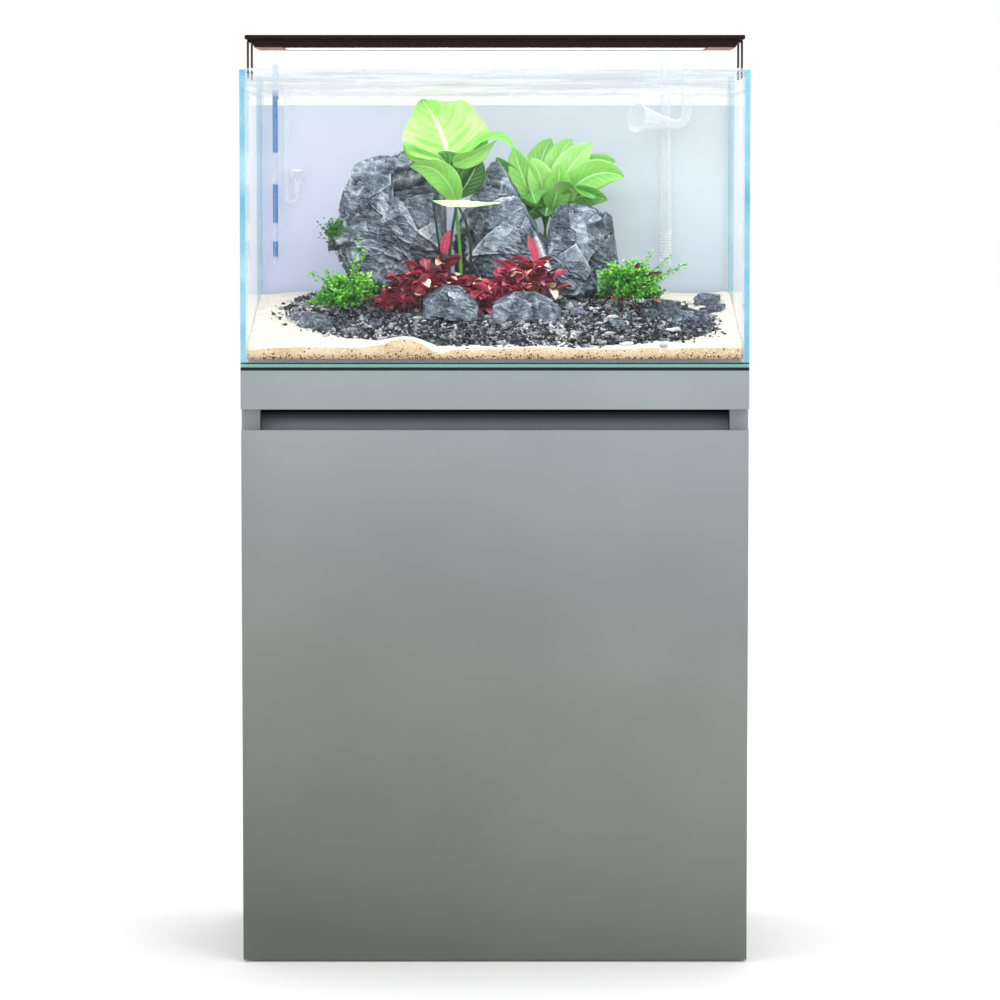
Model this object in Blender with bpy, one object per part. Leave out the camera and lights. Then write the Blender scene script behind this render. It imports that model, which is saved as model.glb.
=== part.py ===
"""Planted aquarium on a cabinet stand, with a clip-on light and a canister filter inside.

Metres, +Z up, +Y towards the back. The origin is on the floor, at the centre of the object's box.
"""

import math
import random

import bmesh
import bpy
from mathutils import Matrix, Vector, noise

# ---- driving dimensions -------------------------------------------------------------------
WIDTH = 0.600
DEPTH = 0.360
CABINET_TOP = 0.705
TANK_HEIGHT = 0.350
GLASS = 0.006
GAP = 0.0003

PIPE_RADIUS = 0.006
PIPE_BEND = 0.0145
PIPE_INSET = GLASS + 0.0009 + PIPE_RADIUS + 0.0025
PIPE_REACH = 2 * PIPE_BEND - PIPE_INSET + PIPE_RADIUS

HALF = WIDTH / 2
FRONT = -(DEPTH + PIPE_REACH) / 2
BACK = FRONT + DEPTH

# ---- cabinet ------------------------------------------------------------------------------
FOOT_HEIGHT = 0.0017
CARCASS_BASE = 0.002
SIDE_BOARD = 0.022
BOARD = 0.018
BACK_BOARD = 0.008
FASCIA_HEIGHT = 0.046
GROOVE_HEIGHT = 0.0245
GROOVE_DEPTH = 0.045
CARCASS_FRONT = FRONT + 0.020
INSIDE = HALF - SIDE_BOARD
RAIL_HEIGHT = 0.085
CUTOUT = (0.090, 0.060)

# ---- door and its concealed hinges, measured from the door's outer back corner --------------
DOOR_BASE = 0.003
DOOR_TOP = CABINET_TOP - FASCIA_HEIGHT - GROOVE_HEIGHT
DOOR_EDGE = -HALF + 0.0005
DOOR_BACK = FRONT + BOARD
HINGE_HEIGHTS = {"lower": 0.103, "upper": DOOR_TOP - 0.100}
DOOR_PIVOT = (0.0040, 0.0070)
ARM_PIVOT = (0.0250, -0.0050)
CUP_PIVOT = (0.0248, 0.0034)
ELBOW = (ARM_PIVOT[0] + CUP_PIVOT[0] - DOOR_PIVOT[0], ARM_PIVOT[1] + CUP_PIVOT[1] - DOOR_PIVOT[1])
CUP_CENTRE = 0.0225
CUP_RADIUS = 0.0174
CUP_WALL = 0.001
CUP_DEPTH = 0.0120
FLANGE_RADIUS = 0.0205
LINK_HALF_WIDTH = 0.0019
PIN_RADIUS = 0.0008
ARM_HALF_HEIGHT = 0.006
SLOT_HALF_HEIGHT = 0.0043

# ---- tank ---------------------------------------------------------------------------------
MAT = 0.003
TANK_BASE = CABINET_TOP + GAP + MAT + GAP
RIM = TANK_BASE + TANK_HEIGHT
FILM = 0.0006
TANK_BACK = BACK - FILM - GAP
WALL = HALF - GLASS
TANK_INSIDE_FRONT = FRONT + GLASS
TANK_INSIDE_BACK = TANK_BACK - GLASS
FLOOR = TANK_BASE + GLASS
BEAD = 0.003

# ---- light --------------------------------------------------------------------------------
LIGHT_TOP = 1.0995
LIGHT_PLATE = (0.590, 0.120, 0.005)
LIGHT_BODY_DEPTH = 0.112
LIGHT_BODY_HEIGHT = 0.0095
LIGHT_Y = FRONT + 0.088
LEG_X = 0.2923
LEG_RADIUS = 0.0013
LEG_SPREAD = 0.040
LEG_BELOW_RIM = 0.010

# ---- hardscape: the ground rises towards the back, with a gravel mound in the middle --------
GRID = (28, 16)
SAND_FRONT = 0.017
SAND_RISE = 0.056
MOUND_CENTRE = (0.005, FRONT + 0.185)
MOUND_REACH = (0.262, 0.172)
MOUND_HEIGHT = 0.024

# ---- canister filter ----------------------------------------------------------------------
FILTER = (0.130, FRONT + 0.200)
FILTER_SIDE = 0.165
CAN_HEIGHT = 0.270
HEAD_HEIGHT = 0.070


def clear_scene():
    for obj in list(bpy.data.objects):
        bpy.data.objects.remove(obj)


def material(name, colour, roughness, metallic=0.0, alpha=1.0):
    made = bpy.data.materials.new(name)
    made.use_nodes = True
    shader = made.node_tree.nodes["Principled BSDF"]
    shader.inputs["Base Color"].default_value = (*colour, 1)
    shader.inputs["Roughness"].default_value = roughness
    shader.inputs["Metallic"].default_value = metallic
    shader.inputs["Alpha"].default_value = alpha
    return made


def add_object(name, mesh, finish, smooth=False):
    obj = bpy.data.objects.new(name, mesh)
    bpy.context.scene.collection.objects.link(obj)
    obj.data.materials.append(finish)
    if smooth:
        mesh.shade_smooth()
        mesh.set_sharp_from_angle(angle=math.radians(35))
    return obj


def finished(name, work, finish, smooth=False):
    """Turns a closed bmesh's faces outwards and makes it an object."""
    bmesh.ops.recalc_face_normals(work, faces=work.faces)
    mesh = bpy.data.meshes.new(name)
    work.to_mesh(mesh)
    work.free()
    return add_object(name, mesh, finish, smooth)


def loft(name, rings, finish, closed_ends=True, smooth=True):
    """Rings of equal size joined in order. Without ends, the last ring joins the first."""
    work = bmesh.new()
    loops = [[work.verts.new(point) for point in ring] for ring in rings]
    if closed_ends:
        work.faces.new(loops[0])
        work.faces.new(loops[-1])
    else:
        loops.append(loops[0])
    for below, above in zip(loops, loops[1:]):
        for a, b, c, d in zip(below, below[1:] + below[:1], above[1:] + above[:1], above):
            work.faces.new((a, b, c, d))
    return finished(name, work, finish, smooth)


def box(name, low, high, finish, bevel=0.0):
    work = bmesh.new()
    low, high = Vector(low), Vector(high)
    placed = Matrix.Translation((low + high) / 2) @ Matrix.Diagonal((*(high - low), 1))
    bmesh.ops.create_cube(work, size=1, matrix=placed)
    obj = finished(name, work, finish)
    if bevel:
        soften = obj.modifiers.new("Edges", "BEVEL")
        soften.width = bevel
        soften.segments = 1
    return obj


def prism(name, outline, low, high, finish, place):
    """An outline in a plane, extruded from low to high. place(a, b, c) gives the point in space."""
    work = bmesh.new()
    base = work.faces.new([work.verts.new(place(a, b, low)) for a, b in outline])
    grown = bmesh.ops.extrude_face_region(work, geom=[base])["geom"]
    lift = Vector(place(0, 0, high)) - Vector(place(0, 0, low))
    bmesh.ops.translate(work, vec=lift, verts=[item for item in grown if isinstance(item, bmesh.types.BMVert)])
    return finished(name, work, finish)


def upright(a, b, c):
    return (a, b, c)


def along_x(a, b, c):
    return (c, a, b)


def along_y(a, b, c):
    return (a, c, b)


def circle(centre, radius, sides=20):
    turns = [2 * math.pi * k / sides for k in range(sides)]
    return [(centre[0] + radius * math.cos(t), centre[1] + radius * math.sin(t)) for t in turns]


def rounded_rectangle(centre, size, radius, steps=4):
    points = []
    for quarter, (sx, sy) in enumerate(((1, 1), (-1, 1), (-1, -1), (1, -1))):
        cx = centre[0] + sx * (size[0] / 2 - radius)
        cy = centre[1] + sy * (size[1] / 2 - radius)
        for k in range(steps + 1):
            t = math.pi / 2 * (quarter + k / steps)
            points.append((cx + radius * math.cos(t), cy + radius * math.sin(t)))
    return points


def rounded_bar(start, end, radius, steps=6):
    """The outline of a bar from start to end with round ends."""
    heading = math.atan2(end[1] - start[1], end[0] - start[0])
    points = []
    for centre, turn in ((end, -0.5), (start, 0.5)):
        for k in range(steps + 1):
            t = heading + math.pi * (turn + k / steps)
            points.append((centre[0] + radius * math.cos(t), centre[1] + radius * math.sin(t)))
    return points


def combine(obj, other, operation):
    """Cuts other from obj, or joins it to obj, and hides other."""
    change = obj.modifiers.new(operation.title(), "BOOLEAN")
    change.operation = operation
    change.solver = "EXACT"
    change.object = other
    other.hide_render = True
    other.display_type = "WIRE"


def frames(path):
    """A side and an up vector at each point of a path, turning as little as possible."""
    found, side = [], None
    for i in range(len(path)):
        ahead = (path[min(i + 1, len(path) - 1)] - path[max(i - 1, 0)]).normalized()
        if side is None:
            side = ahead.orthogonal().normalized()
        side = (side - ahead * side.dot(ahead)).normalized()
        found.append((side, ahead.cross(side)))
    return found


def tube(name, path, outer, wall, finish, sides=12):
    """An open glass tube along a path. outer holds the outside radius at each point."""
    axes = frames(path)

    def ring(i, radius):
        side, up = axes[i]
        turns = [2 * math.pi * k / sides for k in range(sides)]
        return [path[i] + side * (radius * math.cos(t)) + up * (radius * math.sin(t)) for t in turns]

    outside = [ring(i, outer[i]) for i in range(len(path))]
    inside = [ring(i, outer[i] - wall) for i in reversed(range(len(path)))]
    return loft(name, outside + inside, finish, closed_ends=False)


def rod(name, path, radius, finish, sides=10):
    axes = frames(path)
    turns = [2 * math.pi * k / sides for k in range(sides)]
    rings = [
        [p + side * (radius * math.cos(t)) + up * (radius * math.sin(t)) for t in turns]
        for p, (side, up) in zip(path, axes)
    ]
    return loft(name, rings, finish)


def hang_on(pivot_name, point, pieces):
    """Parents the pieces to an empty on their joint's axis, without moving them."""
    pivot = bpy.data.objects.new(pivot_name, None)
    pivot.location = point
    bpy.context.scene.collection.objects.link(pivot)
    for piece in pieces:
        piece.parent = pivot
        piece.matrix_parent_inverse = Matrix.Translation(-Vector(point))


# ---- cabinet ------------------------------------------------------------------------------
def build_carcass(lacquer, board, plastic):
    """Two side boards carry the top and bottom; rails tie them at the front and the back."""
    board_top = CABINET_TOP - BOARD - GAP
    for side, x in (("left", -1), ("right", 1)):
        low, high = sorted((x * HALF, x * INSIDE))
        box(f"side_panel_{side}", (low, CARCASS_FRONT, CARCASS_BASE), (high, BACK, board_top), lacquer, 0.0004)
        for end, y in (("front", CARCASS_FRONT + 0.030), ("back", BACK - 0.030)):
            centre = (x * (HALF - SIDE_BOARD / 2), y)
            prism(f"glide_{end}_{side}", circle(centre, 0.010), 0, FOOT_HEIGHT, plastic, upright)
    reach = INSIDE - GAP
    box("top_panel", (-HALF, FRONT + BOARD + GAP, CABINET_TOP - BOARD), (HALF, BACK, CABINET_TOP), board)
    box("bottom_panel", (-reach, CARCASS_FRONT, 0.004), (reach, BACK, 0.004 + BOARD), board)
    fascia_base = CABINET_TOP - FASCIA_HEIGHT
    box("front_fascia", (-HALF, FRONT, fascia_base), (HALF, FRONT + BOARD, CABINET_TOP), lacquer, 0.0004)
    rail_base = board_top - RAIL_HEIGHT
    groove_back = FRONT + GROOVE_DEPTH
    box("groove_rail", (-reach, groove_back, rail_base), (reach, groove_back + BOARD, board_top), lacquer)
    box("rear_rail", (-reach, BACK - BOARD, rail_base), (reach, BACK, board_top), board)
    base, top = 0.004 + BOARD + GAP, rail_base - GAP
    notch = reach - CUTOUT[0]
    outline = [(-reach, base), (reach, base), (reach, top - CUTOUT[1]), (notch, top - CUTOUT[1]), (notch, top)]
    outline += [(-notch, top), (-notch, top - CUTOUT[1]), (-reach, top - CUTOUT[1])]
    prism("back_panel", outline, BACK - BACK_BOARD, BACK, board, along_y)


def hinge_place(height):
    """Puts a hinge outline, measured inwards and forwards from the door's corner, into space."""

    def place(inwards, forwards, up):
        return (DOOR_EDGE + inwards, DOOR_BACK - forwards, height + up)

    return place


def build_door(lacquer, steel):
    """A full overlay door. Its top edge slopes down at the back, as a finger pull."""
    slope = 0.010
    outline = [(FRONT, DOOR_BASE), (DOOR_BACK, DOOR_BASE), (DOOR_BACK, DOOR_TOP - slope)]
    outline += [(FRONT + 0.006, DOOR_TOP), (FRONT, DOOR_TOP)]
    door = prism("door_panel", outline, DOOR_EDGE, -DOOR_EDGE, lacquer, along_x)
    leaf = [door]
    for level, height in HINGE_HEIGHTS.items():
        centre = (DOOR_EDGE + CUP_CENTRE, height)
        bore = prism(f"bore_{level}", circle(centre, CUP_RADIUS + GAP, 28), DOOR_BACK - CUP_DEPTH - 0.0004,
                     DOOR_BACK + 0.002, steel, along_y)
        combine(door, bore, "DIFFERENCE")
        profile = [(0.0, CUP_DEPTH), (CUP_RADIUS, CUP_DEPTH), (CUP_RADIUS, -GAP), (FLANGE_RADIUS, -GAP)]
        profile += [(FLANGE_RADIUS, -0.0011), (CUP_RADIUS - CUP_WALL, -0.0011)]
        profile += [(CUP_RADIUS - CUP_WALL, CUP_DEPTH - CUP_WALL), (0.0, CUP_DEPTH - CUP_WALL)]
        leaf.append(turned(f"hinge_cup_{level}", profile, centre, steel))
    hang_on("door_axis", (DOOR_EDGE + DOOR_PIVOT[0], DOOR_BACK - DOOR_PIVOT[1], DOOR_BASE), leaf)


def turned(name, profile, centre, finish, sides=28):
    """A profile of (radius, depth) spun about an axis along Y, from the axis and back to it."""
    work = bmesh.new()
    corners = [work.verts.new((centre[0] + radius, DOOR_BACK - depth, centre[1])) for radius, depth in profile]
    edges = [work.edges.new(pair) for pair in zip(corners, corners[1:])]
    bmesh.ops.spin(work, geom=corners + edges, cent=(centre[0], 0, centre[1]), axis=(0, 1, 0), dvec=(0, 0, 0),
                   angle=2 * math.pi, steps=sides, use_merge=True)
    bmesh.ops.remove_doubles(work, verts=work.verts, dist=0.00001)
    return finished(name, work, finish, smooth=True)


def build_hinges(steel):
    """Each hinge: a slotted arm on the side board, and two links from the arm to the cup.

    Link and door turn as a parallelogram: the inner link stays parallel to the line from the
    door's pivot to the cup's pin, and the outer link keeps its heading.
    """
    inner_links, outer_links = [], []
    for level, height in HINGE_HEIGHTS.items():
        place = hinge_place(height)
        face = SIDE_BOARD - 0.0005 + GAP
        nose, heel, out = ARM_PIVOT[1] + 0.0023, -0.060, 0.033
        outline = [(face, nose), (ARM_PIVOT[0] + 0.0022, nose), (0.029, -0.010), (out, -0.016), (out, heel)]
        outline += [(face, heel)]
        arm = prism(f"hinge_arm_{level}", outline, -ARM_HALF_HEIGHT, ARM_HALF_HEIGHT, steel, place)
        corners = [(face + 0.0009, 0.010), (0.060, 0.010), (0.060, -0.0260), (face + 0.0009, -0.0260)]
        slot = prism(f"slot_{level}", corners, -SLOT_HALF_HEIGHT, SLOT_HALF_HEIGHT, steel, place)
        combine(arm, slot, "DIFFERENCE")
        wing = [(face, -0.034), (face + 0.0022, -0.034), (face + 0.0022, -0.052), (face, -0.052)]
        plate = prism(f"wings_{level}", wing, -0.026, 0.026, steel, place)
        combine(arm, plate, "UNION")
        eye = prism(f"eye_{level}", circle(ARM_PIVOT, PIN_RADIUS + GAP, 12), -0.010, 0.010, steel, place)
        combine(arm, eye, "DIFFERENCE")
        inner = prism(f"hinge_inner_link_{level}", rounded_bar(ARM_PIVOT, ELBOW, LINK_HALF_WIDTH),
                      -0.0038, -GAP, steel, place)
        for end, (pivot, top) in enumerate(((ARM_PIVOT, 0.0058), (ELBOW, 0.0038))):
            base = -0.0058 if end == 0 else -0.0030
            pin = prism(f"pin_{end}_{level}", circle(pivot, PIN_RADIUS, 12), base, top, steel, place)
            combine(inner, pin, "UNION")
        outer = prism(f"hinge_outer_link_{level}", rounded_bar(ELBOW, CUP_PIVOT, LINK_HALF_WIDTH),
                      GAP, 0.0038, steel, place)
        hole = prism(f"hole_{level}", circle(ELBOW, PIN_RADIUS + GAP, 12), -0.010, 0.010, steel, place)
        combine(outer, hole, "DIFFERENCE")
        cross = prism(f"cross_{level}", circle(CUP_PIVOT, PIN_RADIUS, 12), -0.0070, 0.0070, steel, place)
        combine(outer, cross, "UNION")
        inner_links.append(inner)
        outer_links.append(outer)
    hang_on("inner_link_axis", hinge_place(0)(*ARM_PIVOT, 0), inner_links)
    hang_on("outer_link_axis", hinge_place(0)(*ELBOW, 0), outer_links)


# ---- tank ---------------------------------------------------------------------------------
def build_tank(glass, foam, silicone, film):
    """Float glass panes bonded edge to edge on a foam mat. The front and back cover the sides."""
    box("levelling_mat", (-HALF, FRONT, CABINET_TOP + GAP), (HALF, BACK, CABINET_TOP + GAP + MAT), foam)
    edge = 0.0004
    box("glass_front", (-HALF, FRONT, TANK_BASE), (HALF, TANK_INSIDE_FRONT, RIM), glass, edge)
    box("glass_back", (-HALF, TANK_INSIDE_BACK, TANK_BASE), (HALF, TANK_BACK, RIM), glass, edge)
    near, far = TANK_INSIDE_FRONT + GAP, TANK_INSIDE_BACK - GAP
    box("glass_left", (-HALF, near, TANK_BASE), (-WALL, far, RIM), glass, edge)
    box("glass_right", (WALL, near, TANK_BASE), (HALF, far, RIM), glass, edge)
    reach = WALL - GAP
    box("glass_bottom", (-reach, near, TANK_BASE), (reach, far, FLOOR), glass, edge)
    box("background_film", (-HALF, TANK_BACK + GAP, TANK_BASE), (HALF, BACK, RIM - 0.036), film)
    build_silicone(silicone)


def tank_corners():
    """Each inner corner of the tank as (sx, sy, x, y), where sx and sy point into the tank."""
    reach, near, far = WALL - GAP, TANK_INSIDE_FRONT + GAP, TANK_INSIDE_BACK - GAP
    return [(1, 1, -reach, near), (-1, 1, reach, near), (-1, -1, reach, far), (1, -1, -reach, far)]


def build_silicone(silicone):
    """One bead: a rectangle of square section round the floor, and a post in each corner."""
    base = FLOOR + GAP
    outer = [(x, y) for _, _, x, y in tank_corners()]
    inner = [(x + BEAD * sx, y + BEAD * sy) for sx, sy, x, y in tank_corners()]
    rings = [[(x, y, z) for x, y in ring] for ring, z in
             ((outer, base), (outer, base + BEAD), (inner, base + BEAD), (inner, base))]
    bead = loft("silicone_seams", rings, silicone, closed_ends=False, smooth=False)
    for sx, sy, x, y in tank_corners():
        corners = [(x, y), (x + BEAD * sx, y), (x, y + BEAD * sy)]
        post = prism("post", corners, base + BEAD / 2, RIM - 0.004, silicone, upright)
        combine(bead, post, "UNION")


# ---- light --------------------------------------------------------------------------------
def build_light(anodised, steel, black_steel, lens, board, acrylic):
    """A slim bar under a wide heat-sink plate, on two wire brackets that rest on the side panes."""
    length, depth, thick = LIGHT_PLATE
    plate_base = LIGHT_TOP - thick

    def centred(name, size, low, high, finish, bevel=0.0):
        near, far = LIGHT_Y - size[1] / 2, LIGHT_Y + size[1] / 2
        return box(name, (-size[0] / 2, near, low), (size[0] / 2, far, high), finish, bevel)

    plate = centred("light_top_plate", (length, depth), plate_base, LIGHT_TOP, anodised, 0.0008)
    top, base = plate_base - GAP, plate_base - GAP - LIGHT_BODY_HEIGHT
    near, far = LIGHT_Y - LIGHT_BODY_DEPTH / 2, LIGHT_Y + LIGHT_BODY_DEPTH / 2
    wide, narrow = 0.2894, 0.2835
    outline = [(-narrow, base), (narrow, base), (wide, top), (-wide, top)]
    body = prism("light_body", outline, near, far, anodised, along_y)
    pocket = (0.500, 0.072)
    combine(body, centred("light_pocket", pocket, base - 0.002, base + 0.0062, anodised), "DIFFERENCE")
    circuit = centred("led_board", (pocket[0] - 0.006, pocket[1] - 0.006), base + 0.0043, base + 0.0059, board)
    cover = centred("light_lens", (pocket[0] - 0.0012, pocket[1] - 0.0012), base + 0.0005, base + 0.0025, lens)
    socket = circle((0.200, (top + base) / 2), 0.0040, 16)
    inlet = prism("light_power_inlet", socket, far + GAP, far + GAP + 0.006, steel, along_y)
    pieces = [plate, body, circuit, cover, inlet]
    for side, x in (("left", -1), ("right", 1)):
        pieces += build_bracket(side, x * LEG_X, plate_base, black_steel, acrylic)
    hang_on("light_lift", (0, LIGHT_Y, RIM), pieces)


def build_bracket(side, x, plate_base, steel, acrylic):
    """A steel wire bent to an upside-down U, and a clear foot strip on its legs that rests on the rim."""
    bend = 0.004
    crest = plate_base - GAP - LEG_RADIUS
    low = RIM - LEG_BELOW_RIM
    front, back = LIGHT_Y - LEG_SPREAD, LIGHT_Y + LEG_SPREAD
    path = [Vector((x, front, low))]
    for corner, start in ((front + bend, math.pi), (back - bend, math.pi / 2)):
        for k in range(5):
            t = start - math.pi / 2 * k / 4
            path.append(Vector((x, corner + bend * math.cos(t), crest - bend + bend * math.sin(t))))
    path.append(Vector((x, back, low)))
    wire = rod(f"light_bracket_{side}", path, LEG_RADIUS, steel)
    sign = math.copysign(1, x)
    inner, outer = sorted((x - sign * 0.0038, sign * (HALF - 0.0004)))
    low, high = RIM + GAP, RIM + GAP + 0.0025
    foot = box(f"light_foot_{side}", (inner, front - 0.006, low), (outer, back + 0.006, high), acrylic)
    for y in (front, back):
        hole = prism("hole", circle((x, y), LEG_RADIUS + GAP, 12), RIM - 0.002, RIM + 0.010, acrylic, upright)
        combine(foot, hole, "DIFFERENCE")
    return [wire, foot]


# ---- hardscape and plants -----------------------------------------------------------------
def ease(t):
    t = min(max(t, 0.0), 1.0)
    return t * t * (3 - 2 * t)


def sand_height(x, y):
    """The sand's top: a bank that rises to the back, with low waves."""
    back = (y - TANK_INSIDE_FRONT) / (TANK_INSIDE_BACK - TANK_INSIDE_FRONT)
    waves = 0.0022 * math.sin(19 * x + 1.1) * math.cos(13 * y) + 0.0012 * math.sin(47 * x)
    return FLOOR + SAND_FRONT + SAND_RISE * ease(back * 0.95) + waves


def mound_thickness(x, y):
    """How much gravel lies on the sand: an oval heap, highest behind its middle."""
    across = (x - MOUND_CENTRE[0]) / MOUND_REACH[0]
    deep = (y - MOUND_CENTRE[1]) / MOUND_REACH[1]
    inside = 1 - across * across - deep * deep
    return MOUND_HEIGHT * inside**0.7 if inside > 0 else 0.0


def ground_height(x, y):
    return sand_height(x, y) + mound_thickness(x, y)


def ground_grid():
    reach = WALL - 0.0008
    near, far = TANK_INSIDE_FRONT + 0.0008, TANK_INSIDE_BACK - 0.0008
    xs = [-reach + 2 * reach * i / (GRID[0] - 1) for i in range(GRID[0])]
    ys = [near + (far - near) * j / (GRID[1] - 1) for j in range(GRID[1])]
    return xs, ys


def slab(name, cells, low, high, finish):
    """A closed solid over grid cells, between the heights low(x, y) and high(x, y)."""
    xs, ys = ground_grid()
    work = bmesh.new()
    corners = {}
    for i, j in cells:
        ring = []
        for a, b in ((i, j), (i + 1, j), (i + 1, j + 1), (i, j + 1)):
            if (a, b) not in corners:
                corners[a, b] = work.verts.new((xs[a], ys[b], low(xs[a], ys[b])))
            ring.append(corners[a, b])
        work.faces.new(ring)
    bmesh.ops.triangulate(work, faces=work.faces, quad_method="FIXED")
    grown = bmesh.ops.extrude_face_region(work, geom=list(work.faces))["geom"]
    for item in grown:
        if isinstance(item, bmesh.types.BMVert):
            item.co.z = high(item.co.x, item.co.y)
    return finished(name, work, finish)


def build_ground(sand, gravel):
    """White sand, deeper than its bead at the foot, under a heap of black gravel."""
    every = [(i, j) for i in range(GRID[0] - 1) for j in range(GRID[1] - 1)]
    base = FLOOR + GAP + BEAD + GAP
    bed = slab("sand_bed", every, lambda x, y: base, sand_height, sand)
    for sx, sy, x, y in tank_corners():
        leg, past = BEAD + 2 * GAP + 0.002, 0.002
        corners = [(x - sx * past, y - sy * past), (x + sx * leg, y - sy * past), (x - sx * past, y + sy * leg)]
        combine(bed, prism("post_clearance", corners, FLOOR, RIM, sand, upright), "DIFFERENCE")
    xs, ys = ground_grid()

    def heaped(i, j):
        return mound_thickness((xs[i] + xs[i + 1]) / 2, (ys[j] + ys[j + 1]) / 2) > 0.006

    return slab("gravel_mound", [cell for cell in every if heaped(*cell)],
                lambda x, y: sand_height(x, y) + GAP,
                lambda x, y: sand_height(x, y) + max(mound_thickness(x, y), 0.002), gravel)


def build_rock(name, centre, size, lean, seed, finish, ground):
    """A weathered stone: a ball pulled to size, its faces flattened and roughened by noise.

    It is sunk into the gravel, which is cut away around it. Its underside is flat.
    """
    random.seed(seed)
    work = bmesh.new()
    bmesh.ops.create_icosphere(work, subdivisions=3, radius=1)
    shift = Vector((random.uniform(0, 50), random.uniform(0, 50), 0))
    facets = [Vector([random.gauss(0, 1) for _ in range(3)]).normalized() for _ in range(9)]
    limits = [random.uniform(0.66, 0.90) for _ in facets]
    for vert in work.verts:
        p = vert.co.copy()
        for facet, limit in zip(facets, limits):
            over = p.dot(facet) - limit
            if over > 0:
                p -= facet * over * 0.85
        p *= 1 + 0.10 * noise.noise(p * 1.7 + shift)
        p.z = max(p.z, -0.55)
        along = p.z * lean
        vert.co = Vector(centre) + Vector((size[0] * (p.x + along), size[1] * p.y, size[2] * p.z))
    mesh = bpy.data.meshes.new(name)
    bmesh.ops.recalc_face_normals(work, faces=work.faces)
    work.to_mesh(mesh)
    work.free()
    rock = add_object(name, mesh, finish)
    seat = add_object(f"seat_{name}", mesh.copy(), finish)
    grow = seat.modifiers.new("Clearance", "DISPLACE")
    grow.strength = 0.0006
    grow.mid_level = 0.0
    combine(ground, seat, "DIFFERENCE")
    return rock


def build_plant(name, centre, profile, finish, stretch=(1.0, 1.0), sides=14):
    """The space a plant fills, turned about an upright stem: profile holds radius and height."""
    rings = []
    for radius, height in profile:
        ring = circle((0, 0), radius, sides)
        rings.append([(centre[0] + stretch[0] * a, centre[1] + stretch[1] * b, height) for a, b in ring])
    return loft(name, rings, finish)


def build_scape(sand, gravel, stone, leaf, red_leaf):
    mound = build_ground(sand, gravel)
    rocks = (
        ("rock_left", (-0.122, FRONT + 0.232, 0.862), (0.058, 0.050, 0.098), 0.10, 3),
        ("rock_centre", (0.012, FRONT + 0.232, 0.858), (0.056, 0.048, 0.098), -0.16, 11),
        ("rock_right", (0.109, FRONT + 0.222, 0.838), (0.040, 0.038, 0.058), 0.05, 7),
        ("rock_front_left", (-0.052, FRONT + 0.104, 0.772), (0.034, 0.020, 0.024), 0.0, 5),
        ("rock_front_right", (0.036, FRONT + 0.100, 0.768), (0.044, 0.020, 0.020), 0.0, 9),
    )
    for name, centre, size, lean, seed in rocks:
        build_rock(name, centre, size, lean, seed, stone, mound)
    tall = (-0.045, FRONT + 0.180)
    foot = ground_height(*tall) + 0.002
    crown = [(0.004, foot), (0.006, 0.850), (0.008, 0.905), (0.030, 0.955), (0.062, 0.985), (0.050, 1.015)]
    build_plant("plant_tall", tall, [*crown, (0.012, 1.022)], leaf, (1.0, 0.70))
    broad = (0.064, FRONT + 0.300)
    foot = ground_height(*broad) + 0.002
    crown = [(0.006, foot), (0.012, 0.830), (0.030, 0.870), (0.068, 0.905), (0.072, 0.940), (0.045, 0.968)]
    build_plant("plant_broad", broad, [*crown, (0.012, 0.972)], leaf, (1.0, 0.62))
    low_plants = (
        ("plant_red_left", (-0.086, FRONT + 0.150), 0.040, 0.040, red_leaf, (1.20, 0.55)),
        ("plant_red_right", (0.030, FRONT + 0.150), 0.040, 0.036, red_leaf, (1.15, 0.42)),
        ("bush_left", (-0.180, FRONT + 0.150), 0.042, 0.056, leaf, (1.0, 0.9)),
        ("bush_right", (0.160, FRONT + 0.150), 0.042, 0.064, leaf, (1.0, 0.9)),
    )
    for name, centre, radius, height, finish, stretch in low_plants:
        reach = [(centre[0] + radius * stretch[0] * a, centre[1] + radius * stretch[1] * b)
                 for a in (-1, 0, 1) for b in (-1, 0, 1)]
        foot = max(ground_height(*p) for p in reach) + 0.002
        mound = ((0.55, 0.0), (0.95, 0.22), (1.0, 0.5), (0.72, 0.84), (0.25, 1.0))
        profile = [(radius * across, foot + height * up) for across, up in mound]
        build_plant(name, centre, profile, finish, stretch)


# ---- glassware ----------------------------------------------------------------------------
def over_the_rim(x, depth_inside, reach, bend, drop):
    """A path up outside the back pane, over its rim and down inside, as points a bend apart."""
    inside, crest = BACK - depth_inside, RIM + 0.0015
    middle = inside + bend
    path = [Vector((x, middle + bend, crest - reach)), Vector((x, middle + bend, crest - reach / 2))]
    for k in range(9):
        t = math.pi * k / 8
        path.append(Vector((x, middle + bend * math.cos(t), crest + bend * math.sin(t))))
    path.append(Vector((x, inside, crest - drop / 2)))
    path.append(Vector((x, inside, crest - drop)))
    return path


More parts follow.
